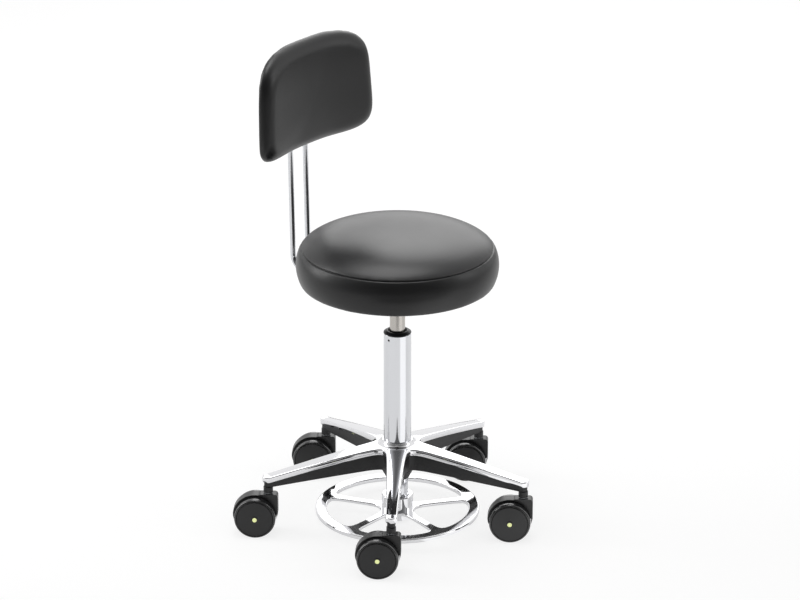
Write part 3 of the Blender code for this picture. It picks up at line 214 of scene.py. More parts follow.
def surface(name, grids, finishes, wrap=(False, True), tones=None, sharp=35):
    """One mesh over grids of points (rows, columns, 3). wrap joins each grid's last row or column to its
    first, and tones gives, for each grid, the finish of each strip between two rows."""
    points, faces, picks = [], [], []
    start = 0
    for number, grid in enumerate(grids):
        rows, columns = grid.shape[:2]
        index = start + np.arange(rows * columns).reshape(rows, columns)
        start += rows * columns
        index = np.vstack([index, index[:1]]) if wrap[0] else index
        index = np.hstack([index, index[:, :1]]) if wrap[1] else index
        corners = [index[:-1, :-1], index[:-1, 1:], index[1:, 1:], index[1:, :-1]]
        faces.append(np.stack(corners, -1).reshape(-1, 4))
        strips = np.zeros(index.shape[0] - 1, int) if tones is None else np.array(tones[number])
        picks.append(np.repeat(strips, index.shape[1] - 1))
        points.append(grid.reshape(-1, 3))
    mesh = bpy.data.meshes.new(name)
    mesh.from_pydata(np.concatenate(points).tolist(), [], np.concatenate(faces).tolist())
    mesh.polygons.foreach_set("material_index", np.concatenate(picks))
    return piece_from(name, mesh, finishes, sharp)


def piece_from(name, mesh, finishes, sharp=35):
    """A piece whose mesh is merged at its seams and poles, faces outwards and is smooth up to sharp edges."""
    bm = bmesh.new()
    bm.from_mesh(mesh)
    bmesh.ops.remove_doubles(bm, verts=bm.verts, dist=MERGE_DISTANCE)
    bmesh.ops.dissolve_degenerate(bm, edges=bm.edges, dist=SLIVER)
    bmesh.ops.recalc_face_normals(bm, faces=bm.faces)
    bm.to_mesh(mesh)
    bm.free()
    mesh.shade_smooth()
    mesh.set_sharp_from_angle(angle=math.radians(sharp))
    for finish in finishes:
        mesh.materials.append(finish)
    made = bpy.data.objects.new(name, mesh)
    bpy.context.scene.collection.objects.link(made)
    return made


def turned(profile, count=96):
    """A profile of (radius, height) points carried round Z, as a grid of points."""
    turns = np.linspace(0, 2 * np.pi, count, endpoint=False)
    outward = np.stack([np.cos(turns), np.sin(turns), np.zeros(count)], -1)
    profile = np.asarray(profile, float)
    return profile[:, None, :1] * outward[None] + profile[:, None, 1:] * np.array([0, 0, 1.0])


def filleted(corners, radius, closed=False, steps=5):
    """A line through corner points with each corner turned into an arc, shortened where its sides are short.
    The arc is a rational curve of second degree whose middle weight is the sine of half the corner's angle.
    A point just past each end of the arc keeps the straight sides' shading straight."""
    corners = np.asarray(corners, float)
    count = len(corners)
    radii = np.broadcast_to(radius, count)
    share = np.linspace(0, 1, steps + 1)[:, None]
    line = []
    for i, corner in enumerate(corners):
        if not closed and i in (0, count - 1):
            line.append(corner[None])
            continue
        back, ahead = corners[i - 1] - corner, corners[(i + 1) % count] - corner
        lengths = np.linalg.norm(back), np.linalg.norm(ahead)
        back, ahead = back / lengths[0], ahead / lengths[1]
        half = np.arccos(np.clip(back @ ahead, -1, 1)) / 2
        reach = min(radii[i] / np.tan(half), ARC_SHARE * min(lengths))
        hold = min(HOLD_BY_ARC * reach, HOLD_BY_SIDE * min(lengths))
        weights = (1 - share) ** 2, 2 * np.sin(half) * share * (1 - share), share**2
        ends = corner + back * reach, corner + ahead * reach
        arc = (weights[0] * ends[0] + weights[1] * corner + weights[2] * ends[1]) / sum(weights)
        line.append(np.vstack([ends[0] + back * hold, arc, ends[1] + ahead * hold]))
    return np.concatenate(line)


def lathed(name, corners, radius, finish, count=96, steps=5):
    """A piece turned round Z from a closed profile of (radius, height) corners, each rounded off."""
    profile = filleted(corners, radius, closed=True, steps=steps)
    return surface(name, [turned(profile, count)], [finish], (True, True))


def material(name, colour, roughness, metallic=0.0):
    """A named material with its tree, its Principled shader at plain values, and the place on the piece."""
    made = bpy.data.materials.new(name)
    made.use_nodes = True
    tree = made.node_tree
    shader = tree.nodes["Principled BSDF"]
    shader.inputs["Base Color"].default_value = linear(colour)
    shader.inputs["Roughness"].default_value = roughness
    shader.inputs["Metallic"].default_value = metallic
    return made, tree, shader, add_node(tree, "TexCoord").outputs["Object"]


def lay_pattern(shader, pattern, gloss=None, tones=None, skin=None):
    """Lets a material follow a pattern: its roughness between two values, its colour between two tones,
    and its surface by a bump of some strength and depth."""
    tree = shader.id_data
    if gloss:
        level = add_node(tree, "MapRange", {"Value": pattern, "To Min": gloss[0], "To Max": gloss[1]})
        tree.links.new(level.outputs[0], shader.inputs["Roughness"])
    if tones:
        ends = {"Factor": pattern, "A": linear(tones[0]), "B": linear(tones[1])}
        tone = add_node(tree, "Mix", ends, data_type="RGBA")
        tree.links.new(tone.outputs["Result"], shader.inputs["Base Color"])
    if skin:
        bump = add_node(tree, "Bump", {"Height": pattern, "Strength": skin[0], "Distance": skin[1]})
        tree.links.new(bump.outputs[0], shader.inputs["Normal"])


# Polished cast aluminium: bright, with a faint haze from the buffing wheel and shallow waves left by hand.
polished, tree, shader, place = material("polished_cast_aluminium", "#e4e4e6", 0.05, 1.0)
haze = add_node(tree, "TexNoise", {"Vector": place, "Scale": 1 / 0.018, "Detail": 4.0})
lay_pattern(shader, haze, gloss=(0.03, 0.08))
waves = add_node(tree, "TexNoise", {"Vector": place, "Scale": 1 / 0.03, "Detail": 1.0})
lay_pattern(shader, waves, skin=(0.015, 0.001))

# Black powder coat: a fine pebbled skin about a millimetre coarse, in slightly cloudy black.
coat, tree, shader, place = material("black_powder_coat", "#232324", 0.5)
pebble = add_node(tree, "TexNoise", {"Vector": place, "Scale": 1 / 0.0012, "Detail": 2.0})
lay_pattern(shader, pebble, gloss=(0.42, 0.6), skin=(0.25, 0.0003))
cloudy = add_node(tree, "TexNoise", {"Vector": place, "Scale": 1 / 0.05, "Detail": 3.0})
lay_pattern(shader, cloudy, tones=("#1d1d1e", "#2c2c2d"))

base_low, base_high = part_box("star_base")
STEM_CIRCLE = math.hypot(*joints["caster_1_swivel"]["pos_m"][:2])
COLLAR_RISE, COLLAR_FLARE = 0.008, 0.0028
hub_top = base_high.z - COLLAR_RISE
TIP_HALF, HUB_HALF, ARM_TAPER = 0.0105, 0.0187, 1.35
HUB_RADIUS, COLLAR_RADIUS, BOSS_RADIUS = 0.041, 0.0275, 0.029
ARM_RISE, ARM_SHOULDER = 0.0375, 0.040
ARM_FALL, SHOULDER_ROUND = 1.12, 0.010
LIP, LIP_BREAK, SIDE_INSET, EDGE_ROUND, CROWN = 0.0114, 0.0006, 0.0030, 0.0024, 0.0005
HUB_DEPTH, TIP_DEPTH = 0.0400, 0.0222
ARMS, ROUND_HUB, HUB_BLEND, NOSE_START = 5, 8, 6, math.radians(80)
# Stations along an arm, closer in its fillet, and the one from which ridge and edge lie abreast.
FILLET_START, FILLET_END, ARM_START, RIDGE_MERGE = 0.0262, 0.066, 0.071, 22
# The underside's rounded edge, as (further inset, height).
FOOT_EDGE = ((0.0002, 0.002), (0.0008, 0.0006), (0.0022, 0.0))


def arm_top(out):
    """Height of the polished top: level over the hub, rounded over the shoulder by a smooth maximum, and then
    falling with little more than the first power of the distance."""
    past = np.minimum(out, STEM_CIRCLE) - ARM_SHOULDER
    past = (past + np.sqrt(past**2 + SHOULDER_ROUND**2)) / 2
    return hub_top - ARM_RISE * (past / (STEM_CIRCLE - ARM_SHOULDER)) ** ARM_FALL


def arm_foot(out):
    """Height of the black underside: a straight slope from hub to tip."""
    share = np.clip(out / STEM_CIRCLE, 0, 1)
    return hub_top - HUB_DEPTH + (HUB_DEPTH - ARM_RISE - TIP_DEPTH) * share


def half_arm():
    """Half an arm as a grid. Columns follow the lip's outline from midway between two arms to the nose.
    The outline is the arm's edge rounded into the hub's circle by a sixth-power mean of their radii.
    Rows cross from the ridge over the crowned top, rounded edge, lip and recessed side to the underside."""
    in_fillet = np.linspace(FILLET_START, FILLET_END, 16)
    along = np.concatenate([in_fillet, np.linspace(ARM_START, STEM_CIRCLE, 30)])
    share = np.clip((STEM_CIRCLE - along) / (STEM_CIRCLE - BOSS_RADIUS), 0, None)
    half = TIP_HALF + (HUB_HALF - TIP_HALF) * share**ARM_TAPER
    angle = np.minimum(np.arctan2(half, along), np.pi / ARMS)
    angle[0] = np.pi / ARMS
    reach = (HUB_RADIUS**HUB_BLEND + (half / np.sin(angle)) ** HUB_BLEND) ** (1 / HUB_BLEND)
    rim = reach[:, None] * np.stack([np.cos(angle), np.sin(angle)], -1)
    nose_turns = np.linspace(NOSE_START, 0, 9)
    nose = TIP_HALF * np.stack([np.cos(nose_turns), np.sin(nose_turns)], -1) + [STEM_CIRCLE, 0]
    rim = np.concatenate([rim, nose])
    hub_turns = np.linspace(np.pi / ARMS, 0, ROUND_HUB)
    ridge_hub = COLLAR_RADIUS * np.stack([np.cos(hub_turns), np.sin(hub_turns)], -1)
    ridge_x = np.concatenate([
        np.linspace(COLLAR_RADIUS, rim[RIDGE_MERGE, 0], RIDGE_MERGE - ROUND_HUB + 2)[1:],
        rim[RIDGE_MERGE + 1 : len(along), 0],
        np.full(len(nose), STEM_CIRCLE),
    ])
    ridge = np.concatenate([ridge_hub, np.stack([ridge_x, 0 * ridge_x], -1)])
    across = rim - ridge
    width = np.linalg.norm(across, axis=1)
    outward = across / width[:, None]

    rows = []

    def row(inset, height, share=1):
        """One row of points, inset from the outline, at a height given for each point's distance out."""
        plan = ridge + outward * ((width - inset) * share)[:, None]
        rows.append(np.column_stack([plan, height(np.linalg.norm(plan, axis=1))]))

    def crowned(share):
        """Top height: the slope, less the crown's fall, plus the collar's flare beside the column."""

        def height(out):
            flare = np.exp(-np.clip(out - COLLAR_RADIUS, 0, None) / COLLAR_FLARE)
            return arm_top(out) - CROWN * share**2 + COLLAR_RISE * flare

        return height

    for share in (0, 0.06, 0.13, 0.22, 0.34, 0.5, 0.68, 0.86, 1):
        row(EDGE_ROUND, crowned(share), share)
    for turn in np.radians([22, 45, 68, 90]):
        inset = EDGE_ROUND * (1 - np.sin(turn))
        drop = CROWN + EDGE_ROUND * (1 - np.cos(turn))
        row(inset, lambda out, drop=drop: arm_top(out) - drop)
    row(0, lambda out: arm_top(out) - LIP + LIP_BREAK)
    row(LIP_BREAK, lambda out: arm_top(out) - LIP)
    polished_rows = len(rows)
    row(SIDE_INSET, lambda out: arm_top(out) - LIP)
    for further, lift in FOOT_EDGE:
        row(SIDE_INSET + further, lambda out, lift=lift: arm_foot(out) + lift)
    for share in (0.5, 0.0):
        row(SIDE_INSET + FOOT_EDGE[-1][0], arm_foot, share)
    return np.stack(rows), polished_rows


arm_grid, polished_rows = half_arm()
bore_wall = arm_grid[[-1, 0], :ROUND_HUB]
arm_tones, arm_grids = [], []
fifths = [
    np.array([[np.cos(turn), np.sin(turn), 0], [-np.sin(turn), np.cos(turn), 0], [0, 0, 1]])
    for turn in 2 * np.pi * np.arange(ARMS) / ARMS
]
for turning in fifths:
    for mirror in ([1, 1, 1], [1, -1, 1]):
        arm_grids += [(arm_grid * mirror) @ turning, (bore_wall * mirror) @ turning]
        arm_tones += [[0] * (polished_rows - 1) + [1] * (len(arm_grid) - polished_rows), [1]]
base_arms = surface("base_arms", arm_grids, [polished, coat], (False, False), arm_tones, 50)

COLUMN_BORE, SLEEVE_BORE, HUB_FLOOR = 0.0253, 0.0193, 0.018
BOSS_DROP, BOSS_LAP, BOSS_CHAMFER, BOSS_CHAMFER_RISE = 0.067, 0.004, 0.0075, 0.016
boss_foot, boss_head = hub_top - BOSS_DROP, hub_top - HUB_DEPTH + BOSS_LAP
base_boss = lathed("base_boss", [
    (COLUMN_BORE, boss_head),
    (BOSS_RADIUS, boss_head),
    (BOSS_RADIUS, boss_foot + BOSS_CHAMFER_RISE),
    (BOSS_RADIUS - BOSS_CHAMFER, boss_foot),
    (SLEEVE_BORE, boss_foot),
    (SLEEVE_BORE, boss_foot + HUB_FLOOR),
], 0.0012, coat)
COLLAR_DEPTH, COLLAR_EDGE, COLLAR_EDGE_DROP = 0.012, 0.0004, 0.001
collar_top, collar_foot = hub_top + COLLAR_RISE, hub_top - COLLAR_DEPTH
base_collar = lathed("base_collar", [
    (COLLAR_RADIUS + COLLAR_EDGE, collar_top - COLLAR_EDGE_DROP),
    (COLLAR_RADIUS, collar_top),
    (COLUMN_BORE, collar_top),
    (COLUMN_BORE, collar_foot),
    (COLLAR_RADIUS, collar_foot),
], COLLAR_EDGE, polished)

NECK_RADIUS, STEM_BORE, NECK_LAP = 0.0086, 0.0058, 0.001
neck_foot, neck_head = base_low.z, arm_foot(STEM_CIRCLE) + NECK_LAP
neck_profile = filleted(
    [(STEM_BORE, neck_foot), (NECK_RADIUS, neck_foot), (NECK_RADIUS, neck_head), (STEM_BORE, neck_head)],
    0.0006,
    closed=True,
)
necks = []
for number in range(1, ARMS + 1):
    stem_x, stem_y, _ = joints[f"caster_{number}_swivel"]["pos_m"]
    necks.append(turned(neck_profile, 48) + np.array([stem_x, stem_y, 0]))
base_necks = surface("base_necks", necks, [coat], (True, True))
for piece in (base_arms, base_boss, base_collar, base_necks):
    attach(piece, "stand")
    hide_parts("star_base")

# Column: a drawn steel tube, chromed, pressed into the hub, with a black plug just proud of it near its
# mouth: painted shade standing for the dark of the small hole there.
# A moulded bush in the mouth guides the ground steel cylinder of the gas spring.


def moved(grid, matrix):
    """A grid of points put through a matrix."""
    return grid @ np.array(matrix.to_3x3()).T + np.array(matrix.translation)


# Bright chrome: a mirror with a thin film of wiped-on polish that dulls it in soft patches.
chrome, tree, shader, place = material("bright_chrome_plate", "#d6d7da", 0.06, 1.0)
wiped = add_node(tree, "TexNoise", {"Vector": place, "Scale": 1 / 0.04, "Detail": 3.0})
lay_pattern(shader, wiped, gloss=(0.04, 0.12))

# Ground steel: fine rings left by grinding round the cylinder, drawn 0.8 mm apart so that they show.
ground, tree, shader, place = material("ground_steel", "#b9b5b0", 0.2, 1.0)
stretched = add_node(tree, "Mapping", {"Vector": place, "Scale": (1 / 0.05, 1 / 0.05, 1 / 0.0008)})
rings = add_node(tree, "TexNoise", {"Vector": stretched, "Scale": 1.0, "Detail": 2.0})
lay_pattern(shader, rings, gloss=(0.14, 0.26))

# Moulded black nylon: a satin skin with the fine spark texture of its mould.
nylon, tree, shader, place = material("moulded_black_nylon", "#1b1b1c", 0.36)
spark = add_node(tree, "TexNoise", {"Vector": place, "Scale": 1 / 0.0009, "Detail": 2.0})
lay_pattern(shader, spark, skin=(0.2, 0.0002))
flow = add_node(tree, "TexNoise", {"Vector": place, "Scale": 1 / 0.02, "Detail": 3.0})
lay_pattern(shader, flow, gloss=(0.3, 0.42), tones=("#161617", "#1e1e1f"))

column_low, column_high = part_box("column_tube")
column_radius = column_high.x
COLUMN_WALL = 0.002
column_bore = column_radius - COLUMN_WALL
column_piece = lathed("column_tube_chromed", [
    (column_radius, column_low.z),
    (column_radius, column_high.z),
    (column_bore, column_high.z),
    (column_bore, column_low.z),
], 0.0005, chrome, 128, steps=3)
# The plug is painted shade: a black cup 0.15 mm proud of the tube stands for the dark inside the small hole.
HOLE_SHADE_RADIUS, HOLE_SHADE_DEPTH, HOLE_HEIGHT, HOLE_SHADE_PROUD = 0.0022, 0.0035, 0.3577, 0.00015
hole_shade_profile = filleted([(0, 0), (HOLE_SHADE_RADIUS, 0), (HOLE_SHADE_RADIUS, -HOLE_SHADE_DEPTH), (0, -HOLE_SHADE_DEPTH)], 0.0003, steps=3)
hole_shade_spot = Matrix.Translation((-column_radius - HOLE_SHADE_PROUD, 0, HOLE_HEIGHT))
hole_shade_grid = moved(turned(hole_shade_profile, 24), hole_shade_spot @ Matrix.Rotation(-math.pi / 2, 4, "Y"))
hole_shade_piece = surface("column_spring_pin", [hole_shade_grid], [coat])
for piece, slot in ((column_piece, "chromed_steel"), (hole_shade_piece, "black_coated_steel")):
    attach(piece, "stand")
    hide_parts("column_tube")

FIT_GAP, RUN_GAP = 0.0003, 0.00025
BUSH_SLOPE, BUSH_MOUTH, FLANGE_EDGE = 0.0055, 0.0077, 0.0013
bush_low, bush_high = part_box("guide_bush")
cylinder_low, cylinder_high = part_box("gas_cylinder")
cylinder_radius = cylinder_high.x
bush_bore = cylinder_radius + RUN_GAP
bush_radius = column_bore - FIT_GAP
flange_foot = column_high.z + FIT_GAP
bush_piece = lathed("guide_bush_moulded", [
    (column_radius - BUSH_SLOPE, bush_high.z),
    (column_radius, flange_foot + FLANGE_EDGE),
    (column_radius, flange_foot),
    (bush_radius, flange_foot),
    (bush_radius, bush_low.z),
    (bush_bore, bush_low.z),
    (bush_bore, flange_foot),
    (column_radius - BUSH_MOUTH, bush_high.z),
], 0.0006, nylon, steps=3)
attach(bush_piece, "stand")
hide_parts("guide_bush")

TAPER_LENGTH, TAPER_DROP = 0.045, 0.0009
LIP_BORE, LIP_HEIGHT, CYLINDER_BORE, CYLINDER_ROOF = 0.0102, 0.002, 0.012, 0.054
cylinder_profile = filleted([
    (0, cylinder_high.z),
    (cylinder_radius - TAPER_DROP, cylinder_high.z),
    (cylinder_radius, cylinder_high.z - TAPER_LENGTH),
    (cylinder_radius, cylinder_low.z),
    (LIP_BORE, cylinder_low.z),
    (LIP_BORE, cylinder_low.z + LIP_HEIGHT),
    (CYLINDER_BORE, cylinder_low.z + LIP_HEIGHT),
    (CYLINDER_BORE, cylinder_high.z - CYLINDER_ROOF),
    (0, cylinder_high.z - CYLINDER_ROOF),
], 0.0005, steps=3)
cylinder_piece = surface("gas_cylinder_ground", [turned(cylinder_profile)], [ground])
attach(cylinder_piece, "seat")
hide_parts("gas_cylinder")

# Foot ring: a polished casting of hub, spokes and rim that slides on the chromed sleeve under the base.
# Its flat top is mirror bright, and its spokes flare softly into the hub and the rim.

ring_low, ring_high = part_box("foot_ring")
ring_radius = ring_high.x
RIM_WIDTH, RIM_THICKNESS, RIM_FOOT, RIM_ROUND = 0.020, 0.0092, 0.0165, 0.0034
SPOKE_THICKNESS, SPOKE_HALF, RING_EDGE = 0.0066, 0.0075, 0.0022
RING_HUB_RADIUS, RING_HUB_EDGE, RING_CAVITY, RING_SHOULDER = 0.0285, 0.001, 0.025, 0.008
WINDOW_MIDDLE, WINDOW_BLEND = 0.086, 0.0075
# Where the rim's profile takes over, how far the spokes reach into the hub, and the rim's step below.
RIM_BORDER, HUB_LAP, STEP_IN, STEP_LENGTH = 0.006, 0.002, 0.006, 0.009
# Rays from a window's middle to the rim, to each spoke and to the hub.
RIM_RAYS, SPOKE_RAYS, HUB_RAYS = 61, 51, 21
rim_half = RIM_THICKNESS / 2
ring_middle = RIM_FOOT + rim_half
border_radius, hub_border = ring_radius - RIM_BORDER, RING_HUB_RADIUS - HUB_LAP


def underside(reach):
    """How far the underside is below the rim's middle: less under spokes, with a soft step at the rim."""
    share = np.clip((reach - ring_radius + RIM_WIDTH + STEP_IN) / STEP_LENGTH, 0, 1)
    thickness = SPOKE_THICKNESS + (RIM_THICKNESS - SPOKE_THICKNESS) * share**2 * (3 - 2 * share)
    return thickness - rim_half


def ray_reach(way, past):
    """How far each ray goes from the window's middle until a growing function of the place passes nil,
    found by halving."""
    low, high = np.zeros(len(way)), np.full(len(way), ring_radius)
    for _ in range(40):
        middle = (low + high) / 2
        outside = past(way * middle[:, None] + [WINDOW_MIDDLE, 0]) > 0
        low, high = np.where(outside, low, middle), np.where(outside, middle, high)
    return low


def past_spokes(place):
    """Distances of a place past the middle lines of the two spokes beside its window."""
    half = np.pi / ARMS
    return [-place[:, 0] * np.sin(half) + side * place[:, 1] * np.cos(half) for side in (-1, 1)]


def past_window(place):
    """A smooth maximum of the distances past both spokes' edges, the rim's inner edge and the hub."""
    reach = np.linalg.norm(place, axis=1)
    edges = [distance + SPOKE_HALF for distance in past_spokes(place)]
    edges += [reach - (ring_radius - RIM_WIDTH), RING_HUB_RADIUS + RING_HUB_EDGE - reach]
    return WINDOW_BLEND * np.log(sum(np.exp(distance / WINDOW_BLEND) for distance in edges))


def past_border(place):
    """The greatest of the distances past both spokes' middle lines, the rim's border and the hub's wall."""
    reach = np.linalg.norm(place, axis=1)
    return np.max(past_spokes(place) + [reach - border_radius, hub_border - reach], axis=0)


rim_outer = filleted([
    (border_radius, ring_middle + rim_half),
    (ring_radius, ring_middle + rim_half),
    (ring_radius, ring_middle - rim_half),
    (border_radius, ring_middle - rim_half),
], RIM_ROUND, steps=10)


def ring_fifth():
    """A fifth of the ring round one window. Columns are rays from the window's middle, with one ray through
    each corner of the fifth. Rows run from the border over the flat top, round the window's edge and back.
    Two more grids carry the rim's outer profile round the border and close the end at the hub."""
    half = np.pi / ARMS
    ends = np.outer([border_radius, hub_border], [np.cos(half), np.sin(half)]) - [WINDOW_MIDDLE, 0]
    rim_ray, hub_ray = np.arctan2(ends[:, 1], ends[:, 0])
    rays = np.concatenate([
        np.linspace(-rim_ray, rim_ray, RIM_RAYS)[:-1],
        np.linspace(rim_ray, hub_ray, SPOKE_RAYS)[:-1],
        np.linspace(hub_ray, 2 * np.pi - hub_ray, HUB_RAYS)[:-1],
        np.linspace(2 * np.pi - hub_ray, 2 * np.pi - rim_ray, SPOKE_RAYS),
    ])
    way = np.stack([np.cos(rays), np.sin(rays)], -1)
    window, border = ray_reach(way, past_window), ray_reach(way, past_border)
    flat = window + RING_EDGE - border
    strip = [(border + flat * share, 0) for share in (0, 0.2, 0.4, 0.6, 0.8, 0.95, 1)]
    strip += [
        (window + RING_EDGE * (1 - np.sin(lean)), RING_EDGE * (1 - np.cos(lean)))
        for lean in np.radians([20, 40, 65, 90])
    ]
    rows = []
    for side in (1, -1):
        for reach, drop in strip[::side]:
            place = way * reach[:, None] + [WINDOW_MIDDLE, 0]
            depth = rim_half if side > 0 else underside(np.linalg.norm(place, axis=1))
            rows.append(np.column_stack([place, np.full(len(rays), ring_middle) + side * (depth - drop)]))
    plate = np.stack(rows)
    rim_way = plate[0, :RIM_RAYS, :2] / border_radius
    rim = np.concatenate(
        [rim_outer[:, None, :1] * rim_way[None], np.repeat(rim_outer[:, None, 1:], RIM_RAYS, 1)], -1
    )
    hub_start = RIM_RAYS + SPOKE_RAYS - 2
    return plate, rim, plate[[0, -1]][:, hub_start : hub_start + HUB_RAYS]


ring_grids = [grid @ turning for turning in fifths for grid in ring_fifth()]
ring_plate = surface("foot_ring_plate", ring_grids, [polished], (False, False))
SLEEVE_RADIUS, SLEEVE_WALL = 0.019, 0.0025
hub_bore, hub_shoulder = SLEEVE_RADIUS + RUN_GAP, ring_high.z - RING_SHOULDER
ring_hub = lathed("foot_ring_hub", [
    (RING_HUB_RADIUS, ring_high.z),
    (RING_HUB_RADIUS, ring_low.z),
    (RING_CAVITY, ring_low.z),
    (RING_CAVITY, hub_shoulder),
    (hub_bore, hub_shoulder),
    (hub_bore, ring_high.z),
], 0.0018, polished)
for piece in (ring_plate, ring_hub):
    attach(piece, "foot_ring")
    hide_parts("foot_ring")

sleeve_low, sleeve_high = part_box("release_sleeve")
BEAD, BEAD_EDGE, BEAD_HEIGHT = 0.0025, 0.002, 0.0025
bead_foot = ring_high.z + FIT_GAP
sleeve_piece = lathed("release_sleeve_chromed", [
    (SLEEVE_RADIUS, sleeve_high.z),
    (SLEEVE_RADIUS, bead_foot + BEAD_HEIGHT),
    (SLEEVE_RADIUS + BEAD, bead_foot + BEAD_EDGE),
    (SLEEVE_RADIUS + BEAD, bead_foot),
    (SLEEVE_RADIUS, bead_foot),
    (SLEEVE_RADIUS, sleeve_low.z),
    (SLEEVE_RADIUS - SLEEVE_WALL, sleeve_low.z),
    (SLEEVE_RADIUS - SLEEVE_WALL, sleeve_high.z),
], 0.0004, chrome, steps=3)
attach(sleeve_piece, "stand")
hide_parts("release_sleeve")

# Casters: moulded hoods that swivel on steel stems, with two hard wheels each side of a web.
# The wheels have a rounded tyre, a shallow face disc and a yellow-green cap on the axle's end.

# Hard polyurethane tyre: black and glossy, so that its tread mirrors the surround at a low angle, and dulled
# in patches where it has rolled.
tyre, tree, shader, place = material("hard_polyurethane_tyre", "#242425", 0.14)
shader.inputs["IOR"].default_value = 1.6
scuffs = add_node(tree, "TexNoise", {"Vector": place, "Scale": 1 / 0.006, "Detail": 5.0})
lay_pattern(shader, scuffs, gloss=(0.06, 0.16), tones=("#1e1e1f", "#2c2c2d"))

# Yellow-green plastic in its own bright colour, with a painted glow: an emission at half strength makes it
# give back more light than falls on it.
cap_paint, _, shader, _ = material("fluorescent_yellow_green_cap", "#f1f8b2", 0.35)
shader.inputs["Emission Color"].default_value = linear("#f1f8b2")
shader.inputs["Emission Strength"].default_value = 0.5

swivel = {n: Vector(joints[f"caster_{n}_swivel"]["pos_m"]) for n in range(1, ARMS + 1)}
axle_at = Vector(joints["caster_1_wheel_a_spin"]["pos_m"])
wheel_radius = axle_at.z
trail = (axle_at - swivel[1]).to_2d()
trail_length = trail.length
caster_turn = math.atan2(trail.y, trail.x)
WHEEL_INNER, TREAD_WIDTH, FACE_RADIUS, FACE_CROWN = 0.0095, 0.0165, 0.0335, 0.0032
HUB_RING, HUB_FLAT, HUB_EDGE, HUB_EDGE_DROP = 0.0095, 0.0062, 0.0074, 0.0005
FACE_EDGE, FACE_EDGE_RISE, GROOVE_SIDE, GROOVE_DEPTH = 0.0012, 0.0004, 0.0006, 0.0016
TYRE_FOOT, TYRE_SET, SHOULDER_DEPTH, SHOULDER_POWER = FACE_RADIUS + 0.0004, 0.0002, 0.0046, 1.9
WHEEL_WALL, INNER_ROUND = 0.0035, 0.002
AXLE_RADIUS, AXLE_PROUD, CAP_EDGE, CAP_EDGE_DROP = 0.004, 0.0006, 0.0006, 0.0008
wheel_outer = WHEEL_INNER + TREAD_WIDTH
hub_face = wheel_outer + FACE_CROWN
wheel_bore = AXLE_RADIUS + FIT_GAP
face_line = filleted([
    (wheel_bore, hub_face),
    (HUB_FLAT, hub_face),
    (HUB_EDGE, hub_face - HUB_EDGE_DROP),
    (FACE_RADIUS - FACE_EDGE, wheel_outer + FACE_EDGE_RISE),
    (FACE_RADIUS - GROOVE_SIDE, wheel_outer - GROOVE_DEPTH),
    (TYRE_FOOT, wheel_outer - GROOVE_DEPTH),
], 0.0006, steps=4)
# The tyre's shoulder is a superellipse from the groove to the tread.
inward = np.linspace(0, 1, 12) ** 1.5
outward = (1 - (1 - inward) ** SHOULDER_POWER) ** (1 / SHOULDER_POWER)
shoulder_line = np.column_stack(
    [TYRE_FOOT + (wheel_radius - TYRE_FOOT) * outward, wheel_outer - TYRE_SET - SHOULDER_DEPTH * inward]
)
inner_line = filleted([
    (wheel_radius, WHEEL_INNER + INNER_ROUND),
    (wheel_radius, WHEEL_INNER),
    (wheel_radius - WHEEL_WALL, WHEEL_INNER),
    (FACE_RADIUS - WHEEL_WALL, wheel_outer - WHEEL_WALL),
    (HUB_RING, WHEEL_INNER),
    (wheel_bore, WHEEL_INNER),
], 0.0012, steps=4)
wheel_profile = np.concatenate([face_line, shoulder_line, inner_line])
wheel_tones = [int(radius >= TYRE_FOOT - 1e-9) for radius in wheel_profile[:, 0]]
wheel_grid = turned(wheel_profile)
axle_end = hub_face + AXLE_PROUD
cap_profile = filleted([
    (0, axle_end),
    (AXLE_RADIUS - CAP_EDGE, axle_end),
    (AXLE_RADIUS, axle_end - CAP_EDGE_DROP),
    (AXLE_RADIUS, 0.0),
], 0.0004)
cap_grid = turned(np.concatenate([cap_profile, (cap_profile * [1, -1])[::-1]]), 32)

HOOD_CLEARANCE, HOOD_WALL, HOOD_HALF, HOOD_ROUND = 0.0011, 0.0024, 0.0099, 0.0011
HOOD_CORNER, BACK_FOOT = 0.006, 0.0045
PLATFORM_RISE, PLATFORM_REACH, PLATFORM_SLOPE = 0.0012, 0.0143, 0.0024
TAIL, TAPER, TAIL_WALL = math.radians(-11), math.radians(28), 0.15
WEB_HALF, WEB_INSET, WEB_SHRINK, WEB_RADIUS = 0.0084, 0.001, 0.015, 0.016
hood_inner = wheel_radius + HOOD_CLEARANCE
hood_radius = hood_inner + HOOD_WALL
hood_top = wheel_radius + hood_radius
platform_top = hood_top + PLATFORM_RISE
hood_back, hood_foot = trail_length - hood_radius, wheel_radius + BACK_FOOT
axle_spot = np.array([trail_length, wheel_radius])


def round_axle(radius, turns):
    """Points about the axle at the given turns, in the caster's own upright plane."""
    return axle_spot + np.stack([radius * np.cos(turns), radius * np.sin(turns)], -1)


back_edge = filleted([
    (hood_back, hood_foot),
    (hood_back, platform_top),
    (PLATFORM_REACH, platform_top),
    (PLATFORM_REACH + PLATFORM_SLOPE, hood_top),
    (trail_length, hood_top),
], HOOD_CORNER, steps=8)
tail_turns = np.linspace(math.pi / 2, TAIL, 48)
thinning = np.clip((tail_turns - TAIL) / TAPER, 0, 1)
tail_wall = HOOD_WALL * (TAIL_WALL + (1 - TAIL_WALL) * thinning * (2 - thinning))
tail_edge = round_axle(hood_inner + tail_wall, tail_turns)[1:]
inside = round_axle(hood_inner, np.linspace(TAIL, math.pi - TAIL, 64))
hood_outline = np.concatenate([back_edge, tail_edge, inside])
web_edge = filleted([
    (hood_back + WEB_INSET, hood_foot),
    (hood_back + WEB_INSET, platform_top - WEB_INSET),
    (PLATFORM_REACH, platform_top - WEB_INSET),
    (trail_length, hood_top - WEB_INSET),
], HOOD_CORNER, steps=6)
